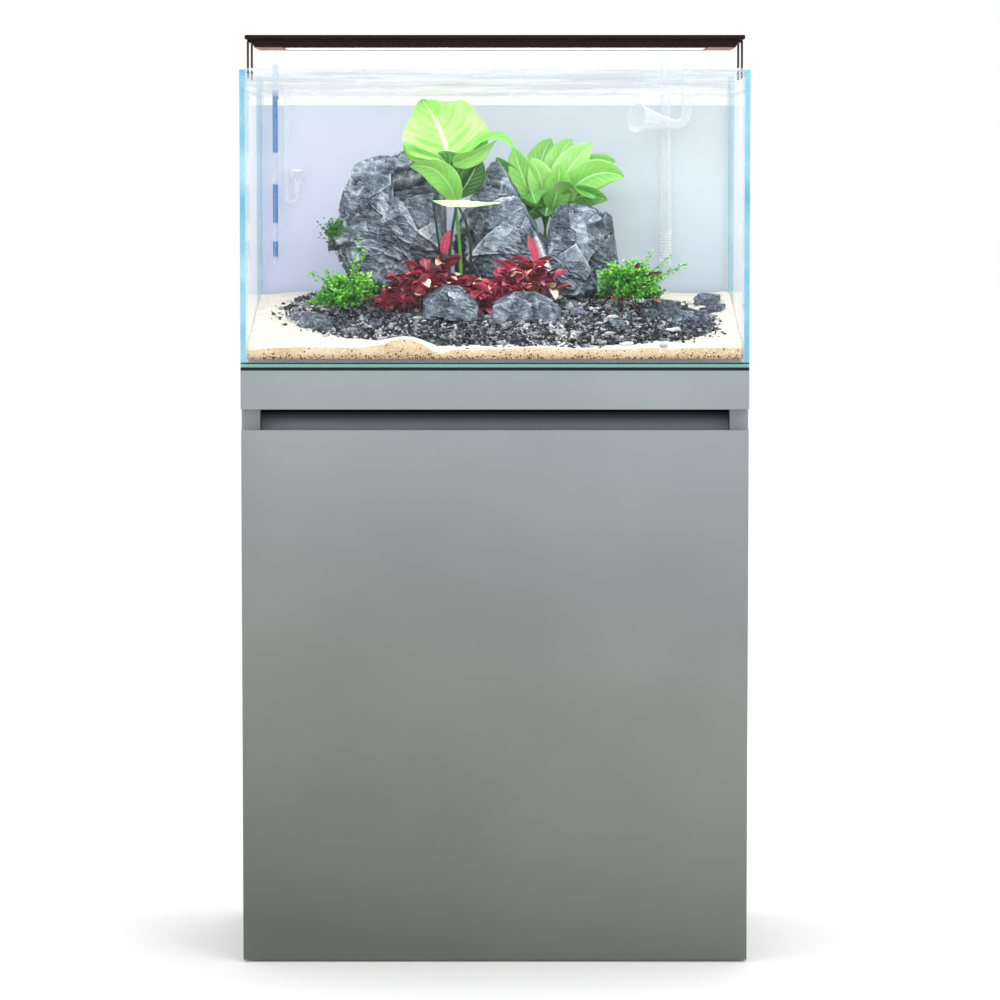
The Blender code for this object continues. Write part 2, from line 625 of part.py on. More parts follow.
def build_glassware(glass, blue):
    """Outflow with a trumpet mouth, inflow with a wider foot, a gas diffuser and a blue riser tube."""
    hose_length = 0.055
    out_x, in_x = 0.240, 0.214
    aim = Vector((-math.cos(math.radians(38)), -math.sin(math.radians(38)), 0))
    path = over_the_rim(out_x, PIPE_INSET, hose_length, PIPE_BEND, 0.046)
    turn = path[-1]
    for k in range(1, 6):
        t = math.pi / 2 * k / 5
        path.append(turn + aim * (0.016 * (1 - math.cos(t))) - Vector((0, 0, 0.016 * math.sin(t))))
    throat = path[-1]
    steps = 6
    path += [throat + (aim * 0.066 + Vector((0, 0, 0.008))) * (k / steps) for k in range(1, steps + 1)]
    trumpet = [PIPE_RADIUS + 0.0125 * (k / steps) ** 1.7 for k in range(1, steps + 1)]
    radii = [PIPE_RADIUS] * (len(path) - steps) + trumpet
    tube("outflow_pipe", path, radii, 0.0012, glass)

    path = over_the_rim(in_x, PIPE_INSET, hose_length, PIPE_BEND, 0.180)
    foot = path[-1]
    path += [foot + Vector((0, 0, -0.060 * k / 4)) for k in range(1, 5)]
    radii = [PIPE_RADIUS] * (len(path) - 5) + [PIPE_RADIUS + 0.0015] * 5
    tube("inflow_pipe", path, radii, 0.0012, glass)

    thin, small_bend = 0.0025, 0.0120
    thin_inset = GLASS + 0.0009 + thin + 0.006
    path = over_the_rim(-0.262, thin_inset, 0.030, small_bend, 0.152)
    turn = path[-1]
    for k in range(1, 9):
        t = math.pi * k / 8
        path.append(turn + Vector((0.007 - 0.007 * math.cos(t), 0, -0.007 * math.sin(t))))
    cup = path[-1]
    lifts = ((0.003, thin), (0.006, 0.0045), (0.020, 0.0045), (0.024, 0.0085), (0.036, 0.0085))
    path += [cup + Vector((0, 0, lift)) for lift, _ in lifts]
    radii = [thin] * (len(path) - len(lifts)) + [radius for _, radius in lifts]
    tube("gas_diffuser", path, radii, 0.0008, glass, sides=10)

    path = over_the_rim(-0.276, thin_inset, 0.030, small_bend, 0.235)
    tube("gas_riser", path, [0.0033] * len(path), 0.0010, blue, sides=10)


# ---- canister filter ----------------------------------------------------------------------
def build_filter(dark, grey):
    """A can with a rim, a pump head with two hose tails, and two clips that hold them together."""
    floor = 0.004 + BOARD + GAP
    outline = rounded_rectangle(FILTER, (FILTER_SIDE, FILTER_SIDE), 0.030)
    rim = rounded_rectangle(FILTER, (FILTER_SIDE + 0.010, FILTER_SIDE + 0.010), 0.034)
    top = floor + CAN_HEIGHT
    heights = ((outline, floor), (outline, top - 0.012), (rim, top - 0.010), (rim, top))
    loft("filter_can", [[(x, y, z) for x, y in ring] for ring, z in heights], dark, smooth=False)
    base = top + GAP
    shoulder = rounded_rectangle(FILTER, (FILTER_SIDE - 0.030, FILTER_SIDE - 0.030), 0.024)
    heights = ((rim, base), (rim, base + 0.012), (outline, base + 0.014), (outline, base + 0.048))
    heights += ((shoulder, base + HEAD_HEIGHT),)
    head = loft("filter_head", [[(x, y, z) for x, y in ring] for ring, z in heights], grey, smooth=False)
    for x in (-0.024, 0.024):
        end = circle((FILTER[0] + x, FILTER[1] - 0.020), 0.008, 16)
        combine(head, prism("hose_tail", end, base + 0.050, base + 0.104, grey, upright), "UNION")
    for side, sign in (("left", -1), ("right", 1)):
        build_clip(side, sign, head, base, dark, grey)


def build_clip(side, sign, head, base, dark, grey):
    """A clip that turns on a pin between two lugs of the head and hooks under the can's rim."""
    face = FILTER[0] + sign * (FILTER_SIDE / 2)
    pivot = (face + sign * 0.009, base + 0.034)
    for y in (-0.022, 0.022):
        low, high = sorted((face - sign * 0.004, face + sign * 0.013))
        near, far = FILTER[1] + y - 0.002, FILTER[1] + y + 0.002
        combine(head, box("lug", (low, near, base + 0.028), (high, far, base + 0.040), grey), "UNION")
    plate, hook = pivot[0] + sign * 0.0005, base - 0.017
    barrel = circle(pivot, 0.0040, 16)
    clip = prism(f"filter_clip_{side}", barrel, FILTER[1] - 0.0195, FILTER[1] + 0.0195, dark, along_y)
    outer = plate + sign * 0.0030
    blade = [(plate, pivot[1]), (outer, pivot[1]), (outer, hook - 0.012), (plate, hook)]
    blade += [(plate - sign * 0.0062, hook), (plate - sign * 0.0062, hook + 0.0040), (plate, hook + 0.0040)]
    lever = prism(f"lever_{side}", blade, FILTER[1] - 0.0180, FILTER[1] + 0.0180, dark, along_y)
    combine(clip, lever, "UNION")
    hang_on(f"clip_axis_{side}", (pivot[0], FILTER[1], pivot[1]), [clip])


def build():
    clear_scene()
    lacquer = material("grey_lacquer", (0.40, 0.42, 0.43), 0.45)
    board = material("grey_board", (0.36, 0.37, 0.38), 0.60)
    black_plastic = material("black_plastic", (0.02, 0.02, 0.02), 0.50)
    grey_plastic = material("grey_plastic", (0.20, 0.21, 0.22), 0.50)
    steel = material("nickel_plated_steel", (0.62, 0.62, 0.60), 0.30, metallic=1.0)
    glass = material("clear_glass", (0.75, 0.90, 0.93), 0.05, alpha=0.3)
    foam = material("black_foam", (0.015, 0.015, 0.015), 0.90)
    silicone = material("clear_silicone", (0.80, 0.84, 0.86), 0.40, alpha=0.5)
    film = material("frosted_film", (0.70, 0.76, 0.82), 0.60)
    anodised = material("dark_anodised", (0.020, 0.012, 0.013), 0.40, metallic=0.5)
    lens = material("light_lens", (0.95, 0.97, 1.00), 0.20)
    circuit = material("white_circuit_board", (0.80, 0.82, 0.80), 0.50)
    blue = material("blue_tube", (0.07, 0.20, 0.52), 0.25)
    black_steel = material("blackened_steel", (0.015, 0.010, 0.010), 0.35, metallic=0.6)
    acrylic = material("clear_acrylic", (0.85, 0.88, 0.90), 0.10, alpha=0.4)
    sand = material("pale_sand", (0.80, 0.72, 0.58), 0.90)
    gravel = material("black_gravel", (0.10, 0.10, 0.11), 0.80)
    stone = material("grey_stone", (0.24, 0.26, 0.29), 0.80)
    leaf = material("green_leaf", (0.22, 0.50, 0.08), 0.45)
    red_leaf = material("red_leaf", (0.35, 0.06, 0.07), 0.50)
    build_carcass(lacquer, board, black_plastic)
    build_door(lacquer, steel)
    build_hinges(steel)
    build_tank(glass, foam, silicone, film)
    build_light(anodised, steel, black_steel, lens, circuit, acrylic)
    build_scape(sand, gravel, stone, leaf, red_leaf)
    build_glassware(glass, blue)
    build_filter(black_plastic, grey_plastic)


build()
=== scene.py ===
import itertools

import bpy
import numpy as np
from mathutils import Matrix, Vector


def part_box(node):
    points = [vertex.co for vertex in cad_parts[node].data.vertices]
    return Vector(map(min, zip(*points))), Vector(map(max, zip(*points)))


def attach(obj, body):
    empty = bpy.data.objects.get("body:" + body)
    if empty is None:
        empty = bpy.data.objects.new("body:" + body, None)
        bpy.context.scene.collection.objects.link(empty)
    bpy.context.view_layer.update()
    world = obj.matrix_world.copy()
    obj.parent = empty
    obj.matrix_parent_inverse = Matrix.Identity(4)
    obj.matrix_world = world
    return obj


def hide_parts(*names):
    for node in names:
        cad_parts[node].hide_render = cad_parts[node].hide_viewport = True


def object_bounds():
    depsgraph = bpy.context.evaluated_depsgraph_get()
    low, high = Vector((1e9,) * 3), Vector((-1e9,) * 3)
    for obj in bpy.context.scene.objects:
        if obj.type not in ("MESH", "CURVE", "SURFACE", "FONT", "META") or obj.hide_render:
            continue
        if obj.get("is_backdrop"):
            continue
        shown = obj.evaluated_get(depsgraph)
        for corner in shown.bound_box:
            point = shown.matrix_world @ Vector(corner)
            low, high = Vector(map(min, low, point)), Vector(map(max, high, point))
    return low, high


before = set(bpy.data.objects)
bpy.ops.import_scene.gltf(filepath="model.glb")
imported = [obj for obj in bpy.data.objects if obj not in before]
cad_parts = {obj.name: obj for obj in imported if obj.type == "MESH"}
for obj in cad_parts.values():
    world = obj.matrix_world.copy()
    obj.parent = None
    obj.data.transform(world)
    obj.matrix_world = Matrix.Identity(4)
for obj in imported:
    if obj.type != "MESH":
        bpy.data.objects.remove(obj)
cad_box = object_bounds()

# ---- The studio --------------------------------------------------------------------------------
# A pale floor under an even white sky, soft lamps in front and behind, and a camera far enough
# away that the cabinet's sides stay upright.
scene = bpy.context.scene
scene.view_settings.view_transform = "Standard"
scene.cycles.transparent_max_bounces = 32
front = cad_box[0].y
CAMERA_AWAY = 5.0


def aimed(thing, place, target):
    """Puts a lamp or camera at place, turned to target."""
    thing.location = place
    thing.rotation_euler = (Vector(target) - Vector(place)).to_track_quat("-Z", "Y").to_euler()
    scene.collection.objects.link(thing)
    return thing


camera = bpy.data.cameras.new("camera")
camera.lens = 152.8
camera.sensor_width = 36
eye = bpy.data.objects.new("camera", camera)
scene.camera = aimed(eye, (0.006, front - CAMERA_AWAY, 0.93), (0.006, front, 0.552))

sky = bpy.data.worlds.new("sky")
sky.use_nodes = True
sky.node_tree.nodes["Background"].inputs["Color"].default_value = (1, 1, 1, 1)
sky.node_tree.nodes["Background"].inputs["Strength"].default_value = 1.0
scene.world = sky

for name, place, size, power in (
    ("key", (1.4, front - 2.2, 2.6), 1.4, 20),
    ("fill", (-1.8, front - 1.8, 1.6), 1.8, 6),
    ("rim", (0.3, 2.0, 2.2), 1.6, 14),
):
    lamp = bpy.data.lights.new(name, "AREA")
    lamp.size = size
    lamp.energy = power
    aimed(bpy.data.objects.new(name, lamp), place, (0, 0, 0.7))

ground = bpy.data.meshes.new("ground")
corners = np.array([(-1, -1, 0), (1, -1, 0), (1, 1, 0), (-1, 1, 0)]) * 30
ground.from_pydata(corners, [], [(0, 1, 2, 3)])
pale = bpy.data.materials.new("pale floor")
pale.use_nodes = True
pale.node_tree.nodes["Principled BSDF"].inputs["Base Color"].default_value = (0.93, 0.93, 0.93, 1)
pale.node_tree.nodes["Principled BSDF"].inputs["Roughness"].default_value = 0.9
pale.node_tree.nodes["Principled BSDF"].inputs["Emission Color"].default_value = (1, 1, 1, 1)
pale.node_tree.nodes["Principled BSDF"].inputs["Emission Strength"].default_value = 0.07
ground.materials.append(pale)
ground = bpy.data.objects.new("ground", ground)
scene.collection.objects.link(ground)
ground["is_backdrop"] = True

# ---- Cabinet boards ----------------------------------------------------------------------------
# 18 and 22 mm board. The outer ones are sprayed in a satin grey lacquer, the inner ones are
# faced with grey melamine. They are screwed and glued from the inside, so no fixing shows.


def rgb(code):
    """A colour from its six-digit code, as linear red, green and blue, and one."""
    tones = [int(code[i : i + 2], 16) / 255 for i in (0, 2, 4)]
    return (*[t / 12.92 if t <= 0.04045 else ((t + 0.055) / 1.055) ** 2.4 for t in tones], 1.0)


def wire(tree, socket, value):
    """Links a socket to an input, or sets a plain value or colour code on it."""
    if isinstance(value, bpy.types.NodeSocket):
        tree.links.new(value, socket)
    else:
        socket.default_value = rgb(value) if isinstance(value, str) else value


def add(tree, kind, settings=(), **inputs):
    """Adds a node and fills its inputs."""
    made = tree.nodes.new(kind if kind.startswith("Node") else "ShaderNode" + kind)
    for name, value in dict(settings).items():
        setattr(made, name, value)
    for name, value in inputs.items():
        wire(tree, made.inputs[name.replace("_", " ")], value)
    return made


def calc(tree, way, a, b=0.0, clamp=False):
    """One sum on two values."""
    made = tree.nodes.new("ShaderNodeMath")
    made.operation = way
    made.use_clamp = clamp
    wire(tree, made.inputs[0], a)
    wire(tree, made.inputs[1], b)
    return made.outputs[0]


def mixed(tree, factor, a, b, way="MIX"):
    """Colour b over colour a by factor."""
    made = tree.nodes.new("ShaderNodeMix")
    made.data_type = "RGBA"
    made.blend_type = way
    for index, value in ((0, factor), (6, a), (7, b)):
        wire(tree, made.inputs[index], value)
    return made.outputs[2]


def ramp(tree, factor, *stops):
    """Colours between stops, each a position and a colour code, along factor."""
    made = add(tree, "ValToRGB", Fac=factor)
    while len(made.color_ramp.elements) < len(stops):
        made.color_ramp.elements.new(1.0)
    for element, (place, code) in zip(made.color_ramp.elements, stops):
        element.position = place
        element.color = rgb(code)
    return made.outputs["Color"]


def between(tree, value, start, end):
    """0 at start, 1 at end, and eased between them. start may be the larger one."""
    made = add(tree, "MapRange", {"interpolation_type": "SMOOTHSTEP"}, Value=value)
    low_to_high = start < end
    made.inputs["From Min"].default_value = min(start, end)
    made.inputs["From Max"].default_value = max(start, end)
    made.inputs["To Min"].default_value = 0.0 if low_to_high else 1.0
    made.inputs["To Max"].default_value = 1.0 if low_to_high else 0.0
    return made.outputs["Result"]


def place_in(tree):
    """Object coordinates."""
    return add(tree, "TexCoord").outputs["Object"]


def parts(tree, vector):
    """The x, y and z of a vector."""
    return add(tree, "SeparateXYZ", Vector=vector).outputs


def where(tree):
    """The x, y and z of object coordinates."""
    return parts(tree, place_in(tree))


def uneven(tree, scale, stretch=None, turn=(0, 0, 0), **values):
    """A noise over object coordinates, stretched by three factors if stretch is given."""
    place = place_in(tree)
    if stretch:
        made = add(tree, "Mapping", Vector=place)
        made.inputs["Rotation"].default_value = turn
        made.inputs["Scale"].default_value = stretch
        place = made.outputs["Vector"]
    return add(tree, "TexNoise", Vector=place, Scale=scale, **values).outputs["Fac"]


def relief_on(tree, inputs, height, strength, distance):
    """Raises the surface by a height."""
    bump = add(tree, "Bump", Height=height, Strength=strength, Distance=distance)
    wire(tree, inputs["Normal"], bump.outputs["Normal"])


def mottle_group():
    """Uneven tone, from a coarse and a fine noise, and the fine one as a height."""
    group = bpy.data.node_groups.new("Mottle", "ShaderNodeTree")
    for name, value in (("Coarse", 15.0), ("Fine", 400.0), ("Share", 0.5)):
        socket = group.interface.new_socket(name, in_out="INPUT", socket_type="NodeSocketFloat")
        socket.default_value = value
    for name in ("Tone", "Height"):
        group.interface.new_socket(name, in_out="OUTPUT", socket_type="NodeSocketFloat")
    given = add(group, "NodeGroupInput").outputs
    coarse = uneven(group, given["Coarse"], Detail=4.0)
    fine = uneven(group, given["Fine"], Detail=3.0)
    rest = calc(group, "SUBTRACT", 1.0, given["Share"])
    fine_part = calc(group, "MULTIPLY", fine, given["Share"])
    tone = calc(group, "ADD", calc(group, "MULTIPLY", coarse, rest), fine_part)
    add(group, "NodeGroupOutput", Tone=tone, Height=fine)
    return group


MOTTLE = mottle_group()


def blank(name, **values):
    """A new material, its tree and its shader's inputs. values are the shader's own sockets."""
    made = bpy.data.materials.new(name)
    made.use_nodes = True
    tree = made.node_tree
    inputs = tree.nodes["Principled BSDF"].inputs
    for socket, value in values.items():
        wire(tree, inputs[socket.replace("_", " ")], value)
    return made, tree, inputs


def mottled(tree, coarse, fine, share):
    """The mottle's tone and height."""
    return add(tree, "Group", {"node_tree": MOTTLE}, Coarse=coarse, Fine=fine, Share=share).outputs


def finish(name, dark, light, roughness, relief=0.1, coarse=15.0, fine=400.0, share=0.5, **values):
    """A material that wavers between two colours over fine relief."""
    made, tree, inputs = blank(name, Roughness=roughness, **values)
    tone, height = mottled(tree, coarse, fine, share)
    wire(tree, inputs["Base Color"], ramp(tree, tone, (0.35, dark), (0.65, light)))
    relief_on(tree, inputs, height, relief, 0.0006)
    return made


def toned(tree, tone, sway):
    """A piece's own tone, moved by a mottle's tone times sway."""
    own = add(tree, "Attribute", {"attribute_name": "tone"}).outputs["Fac"]
    moved = calc(tree, "MULTIPLY", calc(tree, "SUBTRACT", tone, 0.5), sway)
    return calc(tree, "ADD", own, moved)


def parts_of(made):
    """A material's tree, its shader's inputs and the colour that now feeds it."""
    tree = made.node_tree
    inputs = tree.nodes["Principled BSDF"].inputs
    links = inputs["Base Color"].links
    return tree, inputs, links[0].from_socket if links else None


def coat(made, *names):
    """Gives CAD nodes a material."""
    for name in names:
        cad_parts[name].material_slots[0].material = made


lacquer = finish("grey lacquer", "d8d8d8", "ffffff", 0.40, 0.02, 3.0, 1100.0, 0.12, Coat_Weight=0.10)
tree, inputs, tone = parts_of(lacquer)
x, y, z = where(tree)
height = calc(tree, "DIVIDE", z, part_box("front_fascia")[1].z)
slant = calc(tree, "ADD", height, calc(tree, "MULTIPLY", x, 0.24))
# The colour ramp over height and across is painted shade: darker towards the bottom and the left, paler at
# the top right.
painted_shade = ramp(tree, slant, (0.0, "5b6059"), (0.14, "696d68"), (0.36, "7a7e79"), (0.62, "868b8a"),
             (0.9, "939a9d"), (1.0, "99a1a6"))
wire(tree, inputs["Base Color"], mixed(tree, 0.55, painted_shade, tone, "MULTIPLY"))
coat(lacquer, "side_panel_left", "side_panel_right", "front_fascia", "door_panel")

shaded = finish("shaded lacquer", "d8d8d8", "ffffff", 0.55, 0.02, 3.0, 1100.0, 0.12,
                Specular_IOR_Level=0.06)
tree, inputs, tone = parts_of(shaded)
x, y, z = where(tree)
up = calc(tree, "DIVIDE", calc(tree, "SUBTRACT", z, 0.609), 0.050)
# The rail's ramp is painted shade: near black under the fascia's lip and paler further down.
painted_shade = ramp(tree, up, (0.3, "8b9197"), (0.54, "b8bfc6"), (0.64, "a2a9af"), (0.76, "666c71"), (0.9, "131617"),
             (1.0, "07090b"))
wire(tree, inputs["Base Color"], mixed(tree, 0.5, painted_shade, tone, "MULTIPLY"))
coat(shaded, "groove_rail")

melamine = finish("grey melamine", "80868a", "8e9498", 0.55, 0.12, 60.0, 1400.0, 0.6)
coat(melamine, "top_panel", "bottom_panel", "rear_rail", "back_panel")

plastic = finish("black plastic", "101112", "1c1d1f", 0.45, 0.25, 60.0, 1800.0, 0.5)
coat(plastic, "glide_front_left", "glide_front_right", "glide_back_left", "glide_back_right")

# ---- Door hinges -------------------------------------------------------------------------------
# Pressed and nickel-plated steel: a cup let into the door, an arm screwed to the side board, and
# two links that turn on pins between them.
nickel = finish("nickel-plated steel", "9a9a96", "c2c2be", 0.27, 0.05, 40.0, 900.0, 0.4, Metallic=1.0)
for level in ("lower", "upper"):
    coat(nickel, *(f"hinge_{part}_{level}" for part in ("cup", "arm", "inner_link", "outer_link")))


def grid_faces(rows, columns):
    """Quads between rows of points, where each row closes on itself."""
    row, column = np.meshgrid(np.arange(rows - 1), np.arange(columns), indexing="ij")
    after = (column + 1) % columns
    here, there = row * columns, (row + 1) * columns
    return np.stack([here + column, here + after, there + after, there + column], axis=-1).reshape(-1, 4)


def shell(rings, tone=0.5, uv=None):
    """A closed skin over rings of points (rows, columns, 3), with a flat cap at each end."""
    rings = np.asarray(rings, dtype=float)
    rows, columns = rings.shape[:2]
    count = rows * columns
    caps = [list(range(columns))[::-1], list(range(count - columns, count))]
    tones = np.broadcast_to(tone, (rows, columns)).reshape(-1)
    flat = np.zeros((count, 2)) if uv is None else np.asarray(uv).reshape(-1, 2)
    return rings.reshape(-1, 3), grid_faces(rows, columns), caps, tones, flat


def piece(name, skins, material, body="cabinet", instead=(), smooth=True):
    """One mesh from closed skins, with a tone and a UV at each point, that rides on a body."""
    starts = np.cumsum([0] + [len(skin[0]) for skin in skins])
    faces = [list(row) for skin, start in zip(skins, starts) for row in (skin[1] + start).tolist()]
    faces += [[i + int(start) for i in cap] for skin, start in zip(skins, starts) for cap in skin[2]]
    mesh = bpy.data.meshes.new(name)
    mesh.from_pydata(np.concatenate([skin[0] for skin in skins]), [], faces)
    tones = mesh.attributes.new("tone", "FLOAT", "POINT").data
    tones.foreach_set("value", np.concatenate([skin[3] for skin in skins]))
    uv = np.concatenate([skin[4] for skin in skins])
    corner = np.empty(len(mesh.loops), dtype=np.int32)
    mesh.loops.foreach_get("vertex_index", corner)
    mesh.uv_layers.new(name="UVMap").data.foreach_set("uv", uv[corner].ravel())
    mesh.polygons.foreach_set("use_smooth", np.full(len(mesh.polygons), smooth))
    mesh.materials.append(material)
    made = bpy.data.objects.new(name, mesh)
    scene.collection.objects.link(made)
    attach(made, body)
    if instead:
        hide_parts(*instead)
    return made


def turned(profile, centre, axis=(0, 0, 1), sides=32, **values):
    """A profile of (radius, height) spun about an axis through centre."""
    axis = np.array(axis, dtype=float)
    across = np.cross(axis, (0.3, 0.9, 0.2))
    across /= np.linalg.norm(across)
    third = np.cross(axis, across)
    turn = np.linspace(0, 2 * np.pi, sides, endpoint=False)
    wheel = np.outer(np.cos(turn), across) + np.outer(np.sin(turn), third)
    profile = np.asarray(profile, dtype=float)
    rings = profile[:, :1, None] * wheel + (np.asarray(centre) + profile[:, 1:2] * axis)[:, None, :]
    return shell(rings, **values)


screws = []
for level in ("lower", "upper"):
    low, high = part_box(f"hinge_arm_{level}")
    middle = (low.z + high.z) / 2
    for height in (middle - 0.0205, middle + 0.0205):
        place = (low.x + 0.0022, high.y - 0.017, height)
        head = [(0.0006, 0.0), (0.0034, 0.0), (0.0034, 0.0004), (0.0024, 0.0014), (0.0010, 0.0015),
                (0.0008, 0.0008), (0.0001, 0.0007)]
        screws.append(turned(head, place, (1, 0, 0), 20))
piece("hinge_screws", screws, nickel)

# ---- Mat and panes -----------------------------------------------------------------------------
# 6 mm float glass with polished blue-green edges, bonded edge to edge with clear silicone, on a
# soft black mat. The frosted film behind the back pane stops short of the rim.
foam = finish("black foam", "0c0e10", "1d2023", 0.95, 0.6, 90.0, 900.0, 0.7)
coat(foam, "levelling_mat")

SIDE_EDGE = 0.2942
BOTTOM_PANE = 0.7140
PANE_FOOT = 0.7122
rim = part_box("glass_front")[1].z
waterline = rim - 0.0245


def clear(name, tint, ior, haze, roughness=0.03, outside_only=True):
    """A clear material. Its alpha is the mirror's share at that angle, and a little haze.

    With outside_only the faces seen from inside the solid don't mirror.
    """
    made, tree, inputs = blank(name, Roughness=roughness, IOR=ior, Base_Color=tint)
    shine = add(tree, "Fresnel", IOR=ior).outputs["Fac"]
    if outside_only:
        outward = calc(tree, "SUBTRACT", 1.0, add(tree, "NewGeometry").outputs["Backfacing"])
        shine = calc(tree, "MULTIPLY", shine, outward)
    alpha = calc(tree, "ADD", calc(tree, "POWER", shine, 1.4), haze, clamp=True)
    wire(tree, inputs["Alpha"], alpha)
    return made, tree, inputs, alpha


glass, tree, inputs, alpha = clear("clear glass", "e9f4f8", 1.45, 0.0)
x, y, z = where(tree)
reach = calc(tree, "ABSOLUTE", x)
side = between(tree, reach, SIDE_EDGE - 0.0012, SIDE_EDGE)
low_edge = between(tree, z, BOTTOM_PANE + 0.001, BOTTOM_PANE)
foot_edge = between(tree, z, PANE_FOOT + 0.0006, PANE_FOOT)
top_edge = between(tree, z, rim - 0.0009, rim - 0.0003)
facing = parts(tree, add(tree, "NewGeometry").outputs["Normal"])["Y"]
ahead = calc(tree, "GREATER_THAN", calc(tree, "ABSOLUTE", facing), 0.6)
cut = calc(tree, "MULTIPLY", calc(tree, "MAXIMUM", side, low_edge), ahead)
cut = calc(tree, "MAXIMUM", cut, top_edge)
STREAKED = (7, 7, 160)
smear = uneven(tree, 1.0, STREAKED, Detail=5.0, Roughness=0.62)
dry = calc(tree, "MULTIPLY", between(tree, z, waterline - 0.0004, waterline + 0.0006), ahead)
smear = calc(tree, "MULTIPLY", between(tree, smear, 0.36, 0.66), dry)
edge = ramp(tree, uneven(tree, 0.12, STREAKED, Detail=2.0), (0.3, "54b4d6"), (0.7, "a2dcee"))
edge = mixed(tree, low_edge, edge, "1d2b2e")
edge = mixed(tree, foot_edge, edge, "86c2b2")
edge = mixed(tree, between(tree, z, 0.7078, 0.7070), edge, "1d2b2e")
edge = mixed(tree, top_edge, edge, "d8eef2")
colour = mixed(tree, smear, "e4f0f5", "c4cbd1")
# Just above the waterline, left of centre, the streaks turn green: a painted reflection of the tall plant.
beside = calc(tree, "ABSOLUTE", calc(tree, "ADD", x, 0.045))
plant_reflection = calc(tree, "MULTIPLY", between(tree, beside, 0.075, 0.03),
             between(tree, z, waterline + 0.012, waterline + 0.003))
colour = mixed(tree, calc(tree, "MULTIPLY", plant_reflection, smear), colour, "8fb87f")
wire(tree, inputs["Base Color"], mixed(tree, cut, colour, edge))
haze = calc(tree, "ADD", calc(tree, "MULTIPLY", smear, 0.46), calc(tree, "MULTIPLY", cut, 0.62))
wire(tree, inputs["Alpha"], calc(tree, "ADD", alpha, haze, clamp=True))
coat(glass, "glass_front", "glass_back", "glass_left", "glass_right", "glass_bottom")

silicone, tree, inputs, alpha = clear("clear silicone", "dfe9ee", 1.4, 0.22, 0.35)
wire(tree, inputs["Base Color"], ramp(tree, uneven(tree, 180.0), (0.3, "c3d6df"), (0.7, "eef6f8")))
coat(silicone, "silicone_seams")

film = finish("frosted film", "f0f2f6", "ffffff", 0.7, 0.05, 9.0, 1500.0, 0.25)
tree, inputs, tone = parts_of(film)
x, y, z = where(tree)
low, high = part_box("background_film")
height = calc(tree, "DIVIDE", calc(tree, "SUBTRACT", z, low.z), high.z - low.z)
# The ramps run darker towards the bottom of the film: painted shade.
cool = ramp(tree, height, (0.2, "a4b2bd"), (0.45, "b6c2ca"), (0.7, "bcc7ce"), (1.0, "bcc5cb"))
warm = ramp(tree, height, (0.2, "b0b7cf"), (0.45, "bcc1d5"), (0.7, "bfc5d6"), (1.0, "bdc5d2"))
band = uneven(tree, 1.0, (26, 1, 1.2), Detail=2.0)
sideways = calc(tree, "ADD", x, calc(tree, "MULTIPLY", calc(tree, "SUBTRACT", band, 0.5), 0.22))
colour = mixed(tree, between(tree, sideways, -0.12, -0.02), warm, cool)
colour = mixed(tree, 0.5, colour, tone, "MULTIPLY")
behind = between(tree, parts(tree, add(tree, "NewGeometry").outputs["Normal"])["Y"], 0.2, 0.8)
wire(tree, inputs["Base Color"], mixed(tree, calc(tree, "MULTIPLY", behind, 0.85), colour, "8f9dae"))
# The front face glows in its own colour: painted light.
wire(tree, inputs["Emission Color"], mixed(tree, behind, colour, "000000"))
inputs["Emission Strength"].default_value = 0.36
coat(film, "background_film")

# ---- Water -------------------------------------------------------------------------------------
# It fills the tank to about 25 mm under the rim, and the return flow from the pipe ripples it.
# Its top mirrors. Its sides and its underside barely show, because they lie against the panes.
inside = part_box("sand_bed")


def bank(x, height, y, base):
    """Rings for a solid over a rectangle: each ring goes along the top and comes back flat below."""
    top = np.stack(np.broadcast_arrays(x[:, None], y, height), axis=-1)
    under = top[:, [-1, 0]].copy()
    under[..., 2] = base
    return np.concatenate([top, under], axis=1)


x = np.linspace(inside[0].x - 0.0003, inside[1].x + 0.0003, 160)
y = np.linspace(inside[0].y - 0.0004, inside[1].y + 0.0004, 90)
across, deep = np.meshgrid(x, y, indexing="ij")
away = np.hypot(across - 0.19, deep - 0.08)
ripple = 0.0009 * np.sin(away * 190) * np.exp(-away * 5)
ripple += 0.0005 * np.sin(across * 95 + 1.7 * np.sin(deep * 40)) * np.cos(deep * 120 + 0.8)
water, tree, inputs, alpha = clear("water", "eef7f9", 1.33, 0.012, 0.02, outside_only=False)
x_in, y_in, z_in = where(tree)
top = between(tree, z_in, waterline - 0.0030, waterline - 0.0016)
wire(tree, inputs["Alpha"], calc(tree, "ADD", calc(tree, "MULTIPLY", alpha, top), 0.012))
relief_on(tree, inputs, uneven(tree, 70.0, Detail=3.0), 0.12, 0.004)
piece("water", [shell(bank(x, waterline + ripple, y, 0.7184))], water)

# ---- Light -------------------------------------------------------------------------------------
# A folded aluminium bar, anodised in a very dark brown, under a wide heat-sink plate. A white
# diffuser covers its circuit board. Blackened wire brackets in clear feet stand it on the rim.
anodised = finish("dark anodised", "120708", "261416", 0.50, 0.08, 120.0, 2600.0, 0.5,
                  Specular_IOR_Level=0.14)
tree, inputs, tone = parts_of(anodised)
x, y, z = where(tree)
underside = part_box("light_body")[0].z
strip_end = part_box("light_lens")[1].x
# Along the underside beyond the diffuser's ends the colour is a lighter reddish brown.
below = between(tree, z, underside + 0.0008, underside + 0.0002)
past_strip = between(tree, calc(tree, "ABSOLUTE", x), strip_end, strip_end + 0.004)
lighter_underside = calc(tree, "MULTIPLY", below, past_strip)
wire(tree, inputs["Base Color"], mixed(tree, lighter_underside, tone, "8a564c"))
coat(anodised, "light_top_plate", "light_body")

